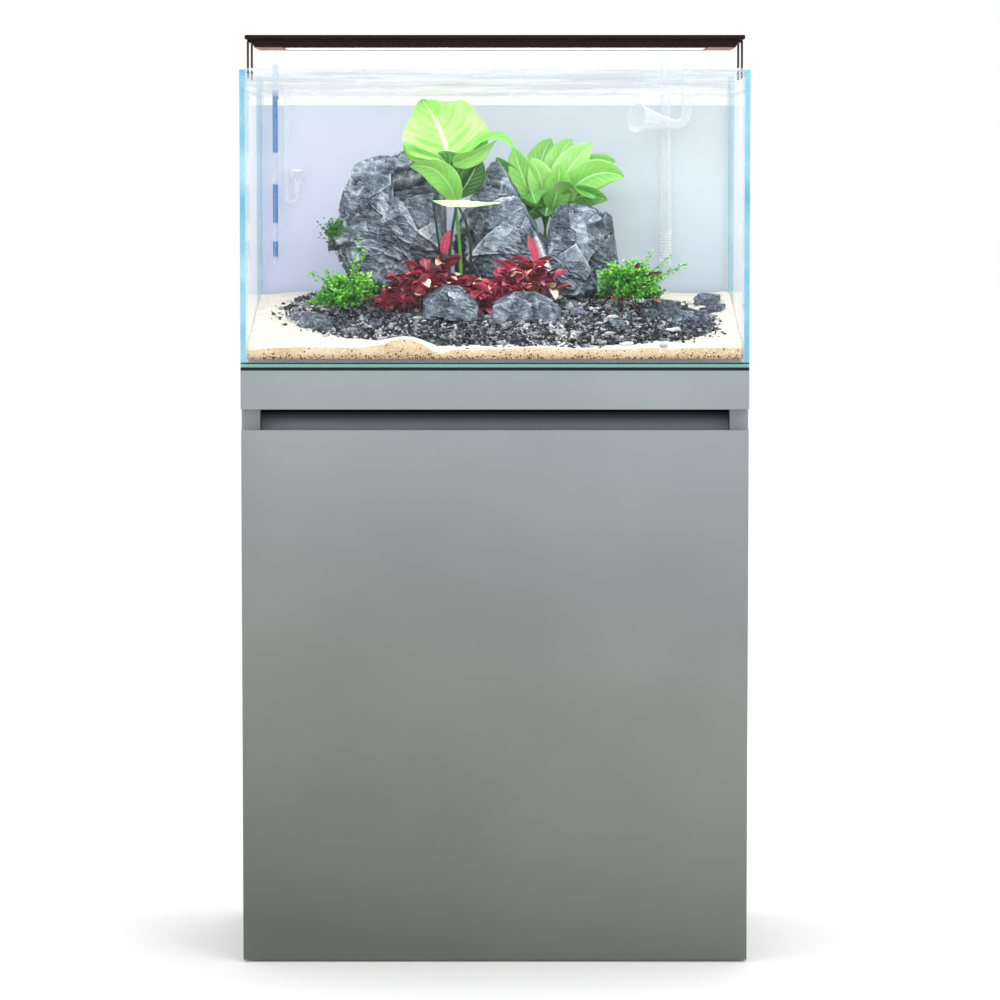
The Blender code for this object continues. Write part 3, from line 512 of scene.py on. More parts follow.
black_steel = finish("blackened steel", "1d1110", "3a2422", 0.35, 0.1, 90.0, 1500.0, 0.5, Metallic=0.6)
coat(black_steel, "light_bracket_left", "light_bracket_right")
coat(nickel, "light_power_inlet")

acrylic, tree, inputs, alpha = clear("clear acrylic", "e8f1f5", 1.49, 0.16, 0.08)
wire(tree, inputs["Base Color"], ramp(tree, uneven(tree, 90.0), (0.3, "cfdde4"), (0.7, "f4fafc")))
coat(acrylic, "light_foot_left", "light_foot_right")

board = finish("white circuit board", "d9dbd4", "f1f2ee", 0.5, 0.1, 80.0, 900.0, 0.5)
coat(board, "led_board")

lens = finish("white diffuser", "f4f8fb", "ffffff", 0.3, 0.05, 40.0, 900.0, 0.3, Emission_Strength=1.1)
tree, inputs, tone = parts_of(lens)
wire(tree, inputs["Emission Color"], ramp(tree, uneven(tree, 14.0), (0.3, "dfeaf5"), (0.7, "ffffff")))
coat(lens, "light_lens")

low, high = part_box("light_lens")
lamp = bpy.data.lights.new("strip", "AREA")
lamp.shape = "RECTANGLE"
lamp.size = high.x - low.x
lamp.size_y = high.y - low.y
lamp.energy = 0.98
strip = bpy.data.objects.new("strip", lamp)
strip.location = ((low.x + high.x) / 2, (low.y + high.y) / 2, low.z - 0.002)
scene.collection.objects.link(strip)

# ---- Sand --------------------------------------------------------------------------------------
# Fine white quartz sand, banked up to the back. Where the front pane cuts it, it is tan, with
# dark specks that have sifted down.


def noise(points, seed=0):
    """Smooth value noise: random numbers at whole coordinates, eased between them, from -1 to 1."""
    whole = np.floor(points).astype(np.int64)
    part = points - whole
    part = part * part * (3 - 2 * part)
    total = 0.0
    for corner in itertools.product((0, 1), repeat=3):
        at = whole + np.array(corner)
        mix = at[..., 0] * 73856093 ^ at[..., 1] * 19349663 ^ at[..., 2] * 83492791 ^ (seed + 1) * 26544357
        mix = (mix ^ (mix >> 13)) * 1274126177
        value = ((mix ^ (mix >> 16)) & 0xFFFF) / 32767.5 - 1
        total = total + value * np.prod(np.where(corner, part, 1 - part), axis=-1)
    return total


def layered(points, octaves=4, seed=0):
    """Noise at doubling frequencies and halving strengths, added up."""
    return sum(noise(points * 2.0**k, seed + 7 * k) / 2.0**k for k in range(octaves))


def at_height(x, y, z=0.0):
    """Points (x, y, z) from arrays of any matching shape."""
    return np.stack(np.broadcast_arrays(x, y, z), axis=-1)


SAND_FRONT = -0.1838
SAND_RUN = 0.3471
SAND_LOW = 0.7316


def sand_height(x, y):
    """An eased rise from front to back, low waves, a hump and hollows at the front pane, and grain."""
    share = np.clip(0.95 * (y - SAND_FRONT) / SAND_RUN, 0, 1)
    height = SAND_LOW + 0.0525 * share * share * (3 - 2 * share)
    height = height + 0.0022 * np.sin(19 * x + 1.1) * np.cos(13 * y) + 0.0012 * np.sin(47 * x)
    near = np.exp(-(((y - SAND_FRONT) / 0.045) ** 2))
    height = height + near * 0.0075 * np.exp(-(((x + 0.108) / 0.026) ** 2))
    height = height - near * 0.0065 * np.exp(-(((x + 0.066) / 0.016) ** 2))
    height = height - near * 0.0045 * np.exp(-(((x - 0.165) / 0.045) ** 2))
    behind = np.clip((y - SAND_FRONT) / 0.024, 0, 1)
    height = height + 0.0042 * behind * behind * (3 - 2 * behind)
    return height + 0.0011 * layered(at_height(x * 38, y * 38, 0.5), 4, 3)


x = np.linspace(inside[0].x, inside[1].x, 400)
y = np.linspace(inside[0].y, inside[1].y, 200)
across, deep = np.meshgrid(x, y, indexing="ij")
height = sand_height(across, deep) + 0.00025 * noise(at_height(across * 900, deep * 900), 5)
sand = finish("white sand", "e3ddd0", "f3efe6", 0.92, 0.55, 30.0, 1500.0, 0.5)
tree, inputs, tone = parts_of(sand)
x_in, y_in, z_in = where(tree)
grain = parts(tree, add(tree, "TexVoronoi", Vector=place_in(tree), Scale=900.0).outputs["Color"])["X"]
pale_top = mixed(tree, calc(tree, "GREATER_THAN", grain, 0.90), tone, "b9a98c")
blot = uneven(tree, 26.0, Detail=4.0)
tan = ramp(tree, blot, (0.32, "cfa87a"), (0.5, "dfbc90"), (0.68, "e8d0b0"))
tan = mixed(tree, calc(tree, "GREATER_THAN", grain, 0.66), tan, "efdcc0")
sunk = between(tree, calc(tree, "ADD", z_in, calc(tree, "MULTIPLY", blot, 0.006)), 0.7290, 0.7205)
speck = add(tree, "TexVoronoi", Vector=place_in(tree), Scale=420.0).outputs
share = calc(tree, "ADD", calc(tree, "MULTIPLY", sunk, 0.50), 0.05)
chosen = calc(tree, "LESS_THAN", parts(tree, speck["Color"])["Y"], share)
dark = calc(tree, "MULTIPLY", calc(tree, "LESS_THAN", speck["Distance"], 0.42), chosen)
tan = mixed(tree, dark, tan, "3a2c22")
at_pane = between(tree, y_in, inside[0].y + 0.0016, inside[0].y + 0.0004)
at_pane = calc(tree, "MAXIMUM", at_pane, between(tree, y_in, inside[1].y - 0.0004, inside[1].y - 0.0001))
reach = calc(tree, "ABSOLUTE", x_in)
at_pane = calc(tree, "MAXIMUM", at_pane, between(tree, reach, inside[1].x - 0.0004, inside[1].x - 0.0001))
wire(tree, inputs["Base Color"], mixed(tree, at_pane, pale_top, tan))
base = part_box("sand_bed")[0].z
piece("sand", [shell(bank(x, height, y, base))], sand, instead=["sand_bed"])

# ---- Gravel ------------------------------------------------------------------------------------
# Crushed slate: thousands of flat chips, 2 to 9 mm, black to pale grey, heaped under the rocks
# with a few water-worn pebbles. They lie loose and thin out over the sand.


HEAP_BACK = 0.146


def oval(x, y):
    """1 in the middle of the heap, 0 at its edge and less outside. It lies askew in the tank."""
    return 1 - ((x - 0.005) / 0.262) ** 2 - ((y + 0.0048 + 0.11 * x) / 0.164) ** 2


def heap(x, y):
    """An oval heap over the sand, nearer the front pane at its right end."""
    left = oval(x, y)
    ragged = 0.10 * layered(at_height(x * 22, y * 22, 4.5), 3, 21)
    fade = np.clip((HEAP_BACK - y) / 0.045, 0, 1)
    return 0.0225 * fade * np.maximum(left + ragged * (left < 0.5), 0) ** 0.7


def tumbled(count, rng, flat):
    """Random turns as (count, 3, 3) frames. flat from 0 to 1 keeps their third axis near upright."""
    up = rng.normal(size=(count, 3)) * (1 - flat) + np.array([0, 0, 1]) * flat * 1.5
    up /= np.linalg.norm(up, axis=1, keepdims=True)
    across = np.cross(up, rng.normal(size=(count, 3)))
    across /= np.linalg.norm(across, axis=1, keepdims=True)
    return np.stack([across, np.cross(up, across), up], axis=1)


def scattered(shape, faces, frames_, sizes, places, tones):
    """Copies of one small closed shape, each with its own size, turn, place and tone."""
    points = np.einsum("nki,nij->nkj", shape * sizes[:, None, :], frames_) + places[:, None, :]
    count, corner_count = points.shape[:2]
    moved = faces[None] + (np.arange(count) * corner_count)[:, None, None]
    return (points.reshape(-1, 3), moved.reshape(-1, faces.shape[1]), [], np.repeat(tones, corner_count),
            np.zeros((count * corner_count, 2)))


rng = np.random.default_rng(41)
block = np.array(list(itertools.product((-0.5, 0.5), repeat=3)))
block_faces = np.array([(0, 1, 3, 2), (4, 6, 7, 5), (0, 4, 5, 1), (2, 3, 7, 6), (0, 2, 6, 4), (1, 5, 7, 3)])
tries = 16800
x = rng.uniform(-0.275, 0.275, tries)
y = rng.uniform(-0.180, HEAP_BACK, tries)
thick = heap(x, y)
strewn = 0.50 * np.exp(np.minimum(oval(x, y), 0) * 14)
kept = (thick > 0.0005) | (rng.uniform(size=tries) < strewn)
kept &= (y > -0.1765) & (np.abs(x) < 0.285)
x, y, thick = x[kept], y[kept], thick[kept]
count = len(x)
size = 0.0022 + 0.0058 * rng.beta(1.3, 3.4, count)
sizes = np.stack([np.ones(count), rng.uniform(0.55, 0.95, count), rng.uniform(0.2, 0.5, count)], axis=1)
sizes = size[:, None] * sizes
chips = block + rng.uniform(-0.20, 0.20, (count, 8, 3))
lift = rng.uniform(-0.0012, 0.0018, count)
places = at_height(x, y, sand_height(x, y) + thick + lift)
tones = np.clip(rng.beta(0.75, 0.85, count) + 0.08 * rng.normal(size=count), 0, 1)
tones = tones * (0.70 + 0.30 * np.clip(0.7 + 0.9 * noise(at_height(x * 14, y * 14, 2.0), 8), 0, 1))

slate_chip, tree, inputs = blank("slate chips", Roughness=0.62)
tone, height = mottled(tree, 420.0, 2200.0, 0.4)
grey = ramp(tree, toned(tree, tone, 0.35), (0.0, "07090c"), (0.20, "1b2027"), (0.38, "444e59"),
            (0.56, "7b868f"), (0.76, "bcc2c5"), (1.0, "f2f2ee"))
wire(tree, inputs["Base Color"], grey)
relief_on(tree, inputs, height, 0.35, 0.0005)

x = np.linspace(-0.262, 0.270, 190)
y = np.linspace(-0.1775, 0.150, 110)
across, deep = np.meshgrid(x, y, indexing="ij")
base = sand_height(across, deep)
height = base + heap(across, deep) - 0.0012 + 0.0005 * noise(at_height(across * 400, deep * 400), 9)
outside = heap(across, deep) < 0.0006
height = np.where(outside, base - 0.002, height)
body = shell(bank(x, height, y, 0.7195), tone=0.10)
chips = scattered(chips, block_faces, tumbled(count, rng, 0.45), sizes, places, tones)
piece("gravel", [body, chips], slate_chip, instead=["gravel_mound"], smooth=False)


def bed_top(x, y):
    """The height of the sand and gravel together at one place."""
    x, y = np.array(x), np.array(y)
    return float(sand_height(x, y) + heap(x, y))


def ball(rows=9, columns=14):
    """Unit directions in rings from the bottom pole to the top one."""
    lift = np.linspace(-np.pi / 2, np.pi / 2, rows + 2)[1:-1]
    turn = np.linspace(0, 2 * np.pi, columns, endpoint=False)
    lift, turn = np.meshgrid(lift, turn, indexing="ij")
    return np.stack([np.cos(lift) * np.cos(turn), np.cos(lift) * np.sin(turn), np.sin(lift)], axis=-1)


pebbles = []
for k in range(110):
    x, y = rng.uniform(-0.235, 0.262), rng.uniform(-0.172, 0.02)
    if heap(np.array(x), np.array(y)) < 0.0008 and rng.uniform() > 0.25:
        continue
    big = rng.uniform(0.0035, 0.0085)
    turn = tumbled(1, rng, 0.82)[0]
    form = ball() * (1 + 0.16 * noise(ball() * 1.4 + k, 2)[..., None]) * big
    form = (form * np.array((1, rng.uniform(0.6, 0.9), 0.36))) @ turn
    place = np.array((x, y, bed_top(x, y) + 0.0012))
    pebbles.append(shell(form + place, tone=rng.choice((0.42, 0.55, 0.64, 0.74, 0.9))))
lone = ball() * np.array((0.0062, 0.005, 0.0036)) + np.array((-0.1345, -0.150, 0.7372))
pebbles.append(shell(lone, tone=0.6))
piece("pebbles", pebbles, slate_chip)

# ---- Rocks -------------------------------------------------------------------------------------
# Blue-grey slate, broken along its bedding: large leaning pieces behind, two low ones in front
# and small ones at the heap's ends. Their edges are worn pale, and their hollows are darkened as
# painted shade.


def stone(centre, planes, rows, columns, seed, tilt=(0.45, 0.2, 0.87), chip=1.0, blunt=34.0):
    """A rock: rounded meeting of planes, broken into tilted facets, with ledges along its bedding.

    Along a direction, the distance out is the blunt-power mean of plane distance over cosine. Each
    facet is the cell nearest to a random point of the surface, sheared by its own slope. Tone is
    high on what stands proud, as wear, and low in hollows, as painted shade.
    """
    rng = np.random.default_rng(seed)
    way = ball(rows, columns)
    planes = np.asarray(planes, dtype=float)
    normal = planes[:, :3] / np.linalg.norm(planes[:, :3], axis=1, keepdims=True)
    reach = np.maximum(way @ normal.T, 0.02) / planes[:, 3]
    out = (reach**blunt).sum(axis=-1) ** (-1 / blunt)
    points = way * out[..., None]
    scale = float(np.median(out))
    tilt = np.array(tilt) / np.linalg.norm(tilt)
    push = np.zeros(out.shape)
    tones = np.zeros(out.shape)
    for cells, slope, shade in ((22, 0.17, 0.07), (90, 0.13, 0.06), (420, 0.10, 0.04)):
        seeds = points.reshape(-1, 3)[rng.integers(0, points.shape[0] * points.shape[1], cells)]
        wobble = 0.03 * scale * np.stack([noise(points * 3 / scale, seed + i) for i in range(3)], axis=-1)
        flat = (points + wobble).reshape(-1, 3)
        away = (flat**2).sum(1)[:, None] - 2 * flat @ seeds.T + (seeds**2).sum(1)
        nearest = away.argmin(axis=1)
        lean = rng.normal(size=(cells, 3)) * slope
        move = ((flat - seeds[nearest]) * lean[nearest]).sum(axis=1).reshape(out.shape)
        push += move * chip
        tones += shade * rng.normal(size=cells)[nearest].reshape(out.shape)
    bed = points @ tilt / scale
    bed = bed * 9 + 1.3 * layered(points * 1.6 / scale, 3, seed + 5)
    ledge = bed - np.floor(bed)
    push += scale * chip * 0.026 * (ledge**3 - 0.3)
    fine_bed = bed * 4.1
    push += scale * chip * 0.008 * ((fine_bed - np.floor(fine_bed)) ** 2 - 0.3)
    push += scale * 0.030 * layered(points * 2.6 / scale, 4, seed + 9)
    across = points + tilt * (points @ tilt)[..., None] * 1.6
    for step, size in enumerate((0.013, 0.0065, 0.0032)):
        crest = 1 - np.abs(noise(across / size, seed + 60 + step)) * 2
        push += size * 0.145 * chip * crest
    push -= scale * 0.014 * np.maximum(0.10 - np.abs(noise(points * 4.0 / scale, seed + 12)), 0) * 10 * chip
    smooth = push.copy()
    for _ in range(14):
        smooth[1:-1] = (smooth[:-2] + smooth[2:] + 2 * smooth[1:-1]) / 4
        smooth = (np.roll(smooth, 1, 1) + np.roll(smooth, -1, 1) + 2 * smooth) / 4
    # Paler where the surface stands proud of its smoothed form (worn edges) and darker in hollows, which is
    # painted shade.
    tones += 0.53 + np.clip((push - smooth) / 0.0030 * 0.20, -0.27, 0.27)
    tones += 0.10 * layered(points * 3.2 / scale, 3, seed + 31)
    points = way * np.minimum(out + push, out * 1.06)[..., None]
    return shell(points + np.array(centre), tone=np.clip(tones, 0, 1))


slate, tree, inputs = blank("blue-grey slate", Roughness=0.74)
tone, height = mottled(tree, 60.0, 420.0, 0.5)
grey = ramp(tree, toned(tree, tone, 0.85), (0.05, "0d131b"), (0.28, "2b3744"), (0.46, "4b5a69"),
            (0.60, "718090"), (0.76, "a3afb8"), (1.0, "e4e8e8"))
line = uneven(tree, 1.0, (30, 60, 190), (0.2, 0.6, 0.3), Detail=6.0, Distortion=0.6)
line = calc(tree, "ABSOLUTE", calc(tree, "SUBTRACT", line, 0.5))
line = calc(tree, "MULTIPLY", between(tree, line, 0.012, 0.002), 0.5)
wire(tree, inputs["Base Color"], mixed(tree, line, grey, "c3c8c8"))
relief_on(tree, inputs, height, 0.7, 0.0016)

ROCKS = {
    "rock_left": ((-0.128, 0.040, 0.870), 31, [
        (1, -0.1, 0.05, 0.0605), (0.494, -0.1, 0.869, 0.091), (-0.11, 0, 0.994, 0.0880),
        (-0.348, 0, 0.937, 0.0850), (-0.957, -0.1, 0.289, 0.0620), (-0.85, -0.2, -0.4, 0.062),
        (0.35, -0.93, 0.12, 0.046), (-0.45, -0.86, 0.22, 0.047), (0.05, -0.72, 0.70, 0.077),
        (0, 1, 0.1, 0.048), (0.1, 0.7, 0.7, 0.080), (0, -0.6, -0.8, 0.090), (0, 0, -1, 0.085)]),
    "rock_centre": ((0.012, 0.042, 0.856), 47, [
        (0.886, -0.1, 0.464, 0.0375), (0.1, 0, 1, 0.0890), (-0.908, -0.1, 0.417, 0.0560),
        (-1, -0.2, -0.1, 0.052), (-0.72, -0.4, -0.55, 0.062), (-0.50, -0.82, 0.30, 0.043),
        (0.35, -0.90, 0.30, 0.040), (0, 1, 0.2, 0.047), (0, 0.7, 0.7, 0.072), (0, 0, -1, 0.085),
        (0.95, -0.1, -0.1, 0.066)]),
    "rock_right": ((0.104, 0.033, 0.842), 58, [
        (1, -0.2, 0.1, 0.037), (0.72, -0.3, 0.64, 0.046), (0.05, -0.1, 1, 0.0525), (-0.72, -0.2, 0.66, 0.048),
        (-1, -0.1, 0.15, 0.0385), (0.4, -0.9, 0.2, 0.034), (-0.45, -0.85, 0.3, 0.035), (0, -0.7, 0.7, 0.045),
        (0, 1, 0.2, 0.034), (0, 0, -1, 0.05)]),
    "rock_front_left": ((-0.053, -0.082, 0.780), 63, [
        (0.72, -0.3, 0.78, 0.021), (-0.55, -0.3, 0.88, 0.022), (0.1, -0.75, 0.7, 0.020), (1, -0.1, 0, 0.034),
        (-1, -0.1, 0, 0.033), (0, 1, 0.3, 0.020), (0.1, 0, 1, 0.0235), (0, -1, 0.1, 0.020),
        (0, 0, -1, 0.02)]),
    "rock_front_right": ((0.036, -0.086, 0.775), 71, [
        (0.5, -0.2, 0.9, 0.0215), (-0.4, -0.2, 0.9, 0.0215), (0.1, -0.8, 0.65, 0.019), (1, -0.1, 0.1, 0.042),
        (-1, -0.1, 0.1, 0.041), (0, 1, 0.3, 0.020), (0, 0, 1, 0.0205), (0, -1, 0.1, 0.020),
        (0, 0, -1, 0.02)]),
}
for name, (centre, seed, planes) in ROCKS.items():
    small = "front" in name
    planes = [(*plane[:3], plane[3] * (0.92 if small else 1.0)) for plane in planes]
    skins = [stone(centre, planes, 130 if small else 230, 190 if small else 340, seed)]
    if name == "rock_left":
        jut = [(-1, 0, 0.1, 0.024), (1, 0, 0, 0.03), (-0.3, -0.2, 1, 0.011), (0.2, -0.2, -1, 0.011),
               (0, -1, 0.2, 0.016), (0, 1, 0, 0.02), (-0.7, -0.5, 0.5, 0.020)]
        skins.append(stone((-0.178, 0.020, 0.862), jut, 70, 110, 83))
        shard = [(-1, 0, 0.3, 0.012), (1, 0, 0, 0.02), (0, 0, 1, 0.016), (0, 0, -1, 0.016), (0, -1, 0, 0.012),
                 (0, 1, 0, 0.02), (-0.8, -0.4, -0.7, 0.014)]
        skins.append(stone((-0.176, 0.030, 0.905), shard, 60, 90, 87))
    piece("slate_" + name, skins, slate, instead=[name], smooth=False)

LUMPS = (
    (-0.236, -0.030, 0.014, 5), (-0.222, -0.048, 0.019, 6), (-0.206, -0.064, 0.013, 7),
    (0.205, -0.020, 0.020, 8), (0.222, -0.048, 0.018, 9), (0.240, -0.066, 0.016, 10),
    (0.187, -0.056, 0.013, 11), (0.252, -0.020, 0.012, 12), (0.150, -0.105, 0.009, 13),
    (0.100, -0.060, 0.009, 14), (-0.105, -0.075, 0.008, 15), (0.090, -0.035, 0.012, 16),
    (0.262, 0.075, 0.016, 17), (0.272, 0.030, 0.013, 18))
skins = []
for x, y, big, seed in LUMPS:
    rng = np.random.default_rng(seed)
    planes = [(*way, big * rng.uniform(0.62, 1.0)) for way in rng.normal(size=(11, 3))]
    planes += [(0.1, 0, 1, big * 0.5), (0, 0, -1, big * 0.5), (1, 0, 0, big), (-1, 0, 0, big), (0, 1, 0, big),
               (0, -1, 0, big)]
    centre = (x, y, bed_top(x, y) + big * 0.18)
    skins.append(stone(centre, planes, 44, 70, seed + 200, chip=0.8))
piece("slate_lumps", skins, slate, smooth=False)

# ---- Broad-leaved plants -----------------------------------------------------------------------
# Two soft water plants. Their leaves rise on thin stems from the gravel: thin, pale green above
# and deeper below, folded along the midrib, with side veins that sweep to the tip.


def leaf(base, middle, tip, half_width, side=(1, 0, 0), fold=0.25, wave=0.0, tone=0.6, full=0.75, ribs=0.0,
         thick=0.0005, rows=30, across=8, seed=0):
    """A blade: a flat ring of points carried along a midrib bent from base over middle to tip.

    The half width at share u of the length is sin(pi u to the power full) to the power 0.7. The
    halves rise by fold on both sides of the midrib, the margins wave, and ribs furrow it between veins.
    """
    base, middle, tip = (np.array(point, dtype=float) for point in (base, middle, tip))
    u = np.linspace(0, 1, rows)[:, None]
    path = (1 - u) ** 2 * base + 2 * u * (1 - u) * middle + u**2 * tip
    along = 2 * (1 - u) * (middle - base) + 2 * u * (tip - middle)
    along /= np.linalg.norm(along, axis=1, keepdims=True)
    side = np.array(side, dtype=float)
    side = side - (along @ side)[:, None] * along
    side /= np.linalg.norm(side, axis=1, keepdims=True)
    up = np.cross(side, along)
    v = np.linspace(-1, 1, across)
    u2, v2 = np.meshgrid(u[:, 0], v, indexing="ij")
    width = half_width * np.sin(np.pi * np.clip(u2, 0.002, 0.998) ** full) ** 0.7 + 0.0004
    lift = width * fold * np.abs(v2) + wave * half_width * v2**2 * np.sin(7 * u2 + 2.1 * np.sign(v2) + seed)
    lift += wave * half_width * 0.4 * np.abs(v2) ** 3 * np.sin(19 * u2 + seed * 1.7)
    lift += ribs * half_width * np.abs(v2) * (1 - np.abs(v2)) * np.sin(34 * (u2 - 0.35 * np.abs(v2)))
    reach = v2 * width * (1 - 0.35 * fold * np.abs(v2))
    sheet = path[:, None] + side[:, None] * reach[..., None] + up[:, None] * lift[..., None]
    skin = up[:, None] * (thick * (1.05 - v2**2))[..., None]
    rings = np.concatenate([sheet + skin, (sheet - skin)[:, ::-1]], axis=1)
    tones = np.concatenate([tone + 0.10 * (np.abs(v2) - 0.5), np.full_like(v2, tone * 0.6)], axis=1)
    uv = np.stack([u2, v2 * 0.5 + 0.5], axis=-1)
    return shell(rings, tone=tones, uv=np.concatenate([uv, uv[:, ::-1]], axis=1))


def stem(points, thick, tone, rows=14, sides=7):
    """A round stalk of slowly changing thickness through the given points, smoothed between them."""
    points = np.asarray(points, dtype=float)
    knots = np.linspace(0, 1, len(points))
    u = np.linspace(0, 1, rows)
    power = min(len(points) - 1, 3)
    path = np.stack([np.polyval(np.polyfit(knots, points[:, i], power), u) for i in range(3)], axis=1)
    along = np.gradient(path, axis=0)
    along /= np.linalg.norm(along, axis=1, keepdims=True)
    one = np.cross(along, (0.31, 0.9, 0.11))
    one /= np.linalg.norm(one, axis=1, keepdims=True)
    two = np.cross(along, one)
    turn = np.linspace(0, 2 * np.pi, sides, endpoint=False)[None, :, None]
    radius = (thick * (1.15 - 0.4 * u))[:, None, None]
    wheel = np.cos(turn) * one[:, None] + np.sin(turn) * two[:, None]
    return shell(path[:, None] + radius * wheel, tone=tone)


green, tree, inputs = blank("green leaf", Roughness=0.42)
uv = parts(tree, add(tree, "UVMap", {"uv_map": "UVMap"}).outputs["UV"])
off = calc(tree, "MULTIPLY", calc(tree, "ABSOLUTE", calc(tree, "SUBTRACT", uv["Y"], 0.5)), 2.0)
midrib = between(tree, off, 0.075, 0.02)
swept = calc(tree, "SUBTRACT", uv["X"], calc(tree, "MULTIPLY", off, 0.30))
comb = calc(tree, "SINE", calc(tree, "MULTIPLY", swept, 52.0))
comb = calc(tree, "MULTIPLY", between(tree, comb, 0.80, 0.99), between(tree, off, 1.0, 0.6))
vein = calc(tree, "MAXIMUM", midrib, calc(tree, "MULTIPLY", comb, 0.34))
tone, height = mottled(tree, 55.0, 700.0, 0.35)
blade = ramp(tree, toned(tree, tone, 0.30), (0.02, "0f2c0e"), (0.25, "28691a"), (0.45, "4f9d2e"),
             (0.62, "79c44c"), (0.80, "a0dc78"), (1.0, "cbf0b4"))
wire(tree, inputs["Base Color"], mixed(tree, calc(tree, "MULTIPLY", vein, 0.55), blade, "d8f5bc"))
height = calc(tree, "SUBTRACT", height, calc(tree, "MULTIPLY", vein, 1.6))
relief_on(tree, inputs, height, 0.35, 0.0006)

crown = (-0.049, -0.010, 0.900)
foot = (-0.042, -0.008, 0.790)
BLADES = (
    (((-0.0560, -0.0178, 0.951), (-0.0620, -0.012, 0.992), (-0.0900, 0.024, 1.0265)), 0.0590,
     (1, 0.1, -0.10), (0.20, 0.14, 0.66, 0.56, 0.16), 70, 30),
    (((-0.0520, -0.016, 0.9480), (-0.022, -0.052, 0.9570), (0.0030, -0.034, 0.9790)), 0.0130,
     (-0.35, 0.6, -0.7), (0.30, 0.08, 0.70, 0.8), 30, 12),
    (((-0.0400, -0.0100, 0.9560), (0.0020, -0.016, 0.9990), (0.0220, -0.026, 0.9650)), 0.0105,
     (0, 1, 0.5), (-0.35, 0.10, 0.78, 0.8), 30, 12),
    (((-0.0480, -0.0080, 0.9050), (-0.0500, -0.016, 0.9400), (-0.0700, -0.022, 0.9620)), 0.0270,
     (-1, 0.2, 0), (0.30, 0.06, 0.46, 0.9), 30, 12),
    (((-0.0460, -0.0100, 0.9080), (-0.0250, -0.014, 0.9350), (-0.0200, -0.020, 0.9560)), 0.0170,
     (-1, 0.2, 0.3), (0.30, 0.06, 0.30, 0.9), 30, 12),
    (((-0.0463, -0.0148, 0.8980), (-0.0600, -0.044, 0.9540), (-0.1030, -0.050, 0.9450)), 0.0185,
     (0.6, -0.35, 0.75), (0.22, 0.05, 0.66, 0.85, 0.06), 34, 14),
    (((-0.0754, -0.0330, 0.9040), (-0.0370, -0.072, 0.8900), (0.0060, -0.044, 0.9020)), 0.0125,
     (0.1, -1, -0.35), (0.30, 0.06, 0.92, 0.9), 30, 12),
)
blades = [leaf(*points, half, side, *form, rows=rows, across=across, seed=seed)
          for seed, (points, half, side, form, rows, across) in enumerate(BLADES, 1)]
fork = (-0.0463, -0.0148, 0.900)
stalks = [stem(*one) for one in (
    ([foot, (-0.043, -0.007, 0.845), crown], 0.0024, 0.48),
    ([crown, (-0.052, -0.013, 0.93), (-0.0549, -0.0178, 0.955)], 0.0017, 0.52),
    ([crown, (-0.0495, -0.013, 0.93), (-0.0475, -0.017, 0.952)], 0.0012, 0.45),
    ([(-0.050, -0.006, 0.79), (-0.056, -0.008, 0.83), fork], 0.0022, 0.06),
    ([(-0.036, -0.008, 0.79), (-0.030, -0.012, 0.85), fork], 0.0019, 0.03),
    ([(-0.058, -0.010, 0.79), (-0.068, -0.018, 0.85), (-0.0754, -0.0330, 0.905)], 0.0018, 0.05),
    ([crown, (-0.040, -0.014, 0.925), (-0.020, -0.020, 0.950)], 0.0017, 0.05),
)]
piece("tall_plant", blades + stalks, green, instead=["plant_tall"])

ROSETTE = (
    ((0.002, 0.064, 0.9566), (0.023, 0.078, 0.92), 0.014, 0.4, 0.9),
    ((0.0228, 0.07, 0.969), (0.033, 0.07, 0.93), 0.015, 0.66, 0.5),
    ((0.07, 0.115, 0.98), (0.048, 0.1, 0.948), 0.0165, 0.6, 0),
    ((0.0959, 0.108, 0.979), (0.072, 0.095, 0.958), 0.0135, 0.72, -0.3),
    ((0.12, 0.095, 0.974), (0.088, 0.09, 0.948), 0.0165, 0.84, -0.5),
    ((0.159, 0.07, 0.933), (0.118, 0.076, 0.951), 0.0165, 0.7, -0.8),
    ((0.15, 0.098, 0.952), (0.112, 0.095, 0.955), 0.0125, 0.62, -0.5),
    ((0.123, 0.046, 0.906), (0.09, 0.06, 0.934), 0.0165, 0.82, -0.4),
    ((0.05, 0.044, 0.899), (0.04, 0.058, 0.932), 0.016, 0.74, 0.4),
    ((0.0452, 0.07, 0.956), (0.06, 0.072, 0.93), 0.0145, 0.78, 0.2),
    ((0.079, 0.062, 0.948), (0.08, 0.064, 0.915), 0.015, 0.64, -0.1),
    ((0.0326, 0.052, 0.883), (0.044, 0.06, 0.898), 0.012, 0.5, 0.6),
    ((0.1385, 0.056, 0.904), (0.102, 0.06, 0.92), 0.013, 0.45, -0.6),
    ((0.062, 0.044, 0.884), (0.066, 0.056, 0.905), 0.013, 0.42, 0),
)
blades = []
heart = np.array((0.0620, 0.092, 0.868))
for k, (tip, bend, wide, tone, lean) in enumerate(ROSETTE):
    tip, bend = np.array(tip), np.array(bend)
    neck = heart * 0.62 + bend * 0.38 + np.array((0, -0.004, 0.004))
    blades.append(leaf(neck, bend, tip, wide * 1.28, (1, 0.15 * lean, lean), 0.22, 0.07, tone * 0.94, 0.88,
                       0.05, rows=30, across=12, seed=k))
    joined = neck + np.array((0, 0.0006, 0.001))
    blades.append(stem([(0.0600 + 0.0006 * k, 0.096, 0.795), heart, joined], 0.0014, 0.36))
piece("rosette_plant", blades, green, instead=["plant_broad"])

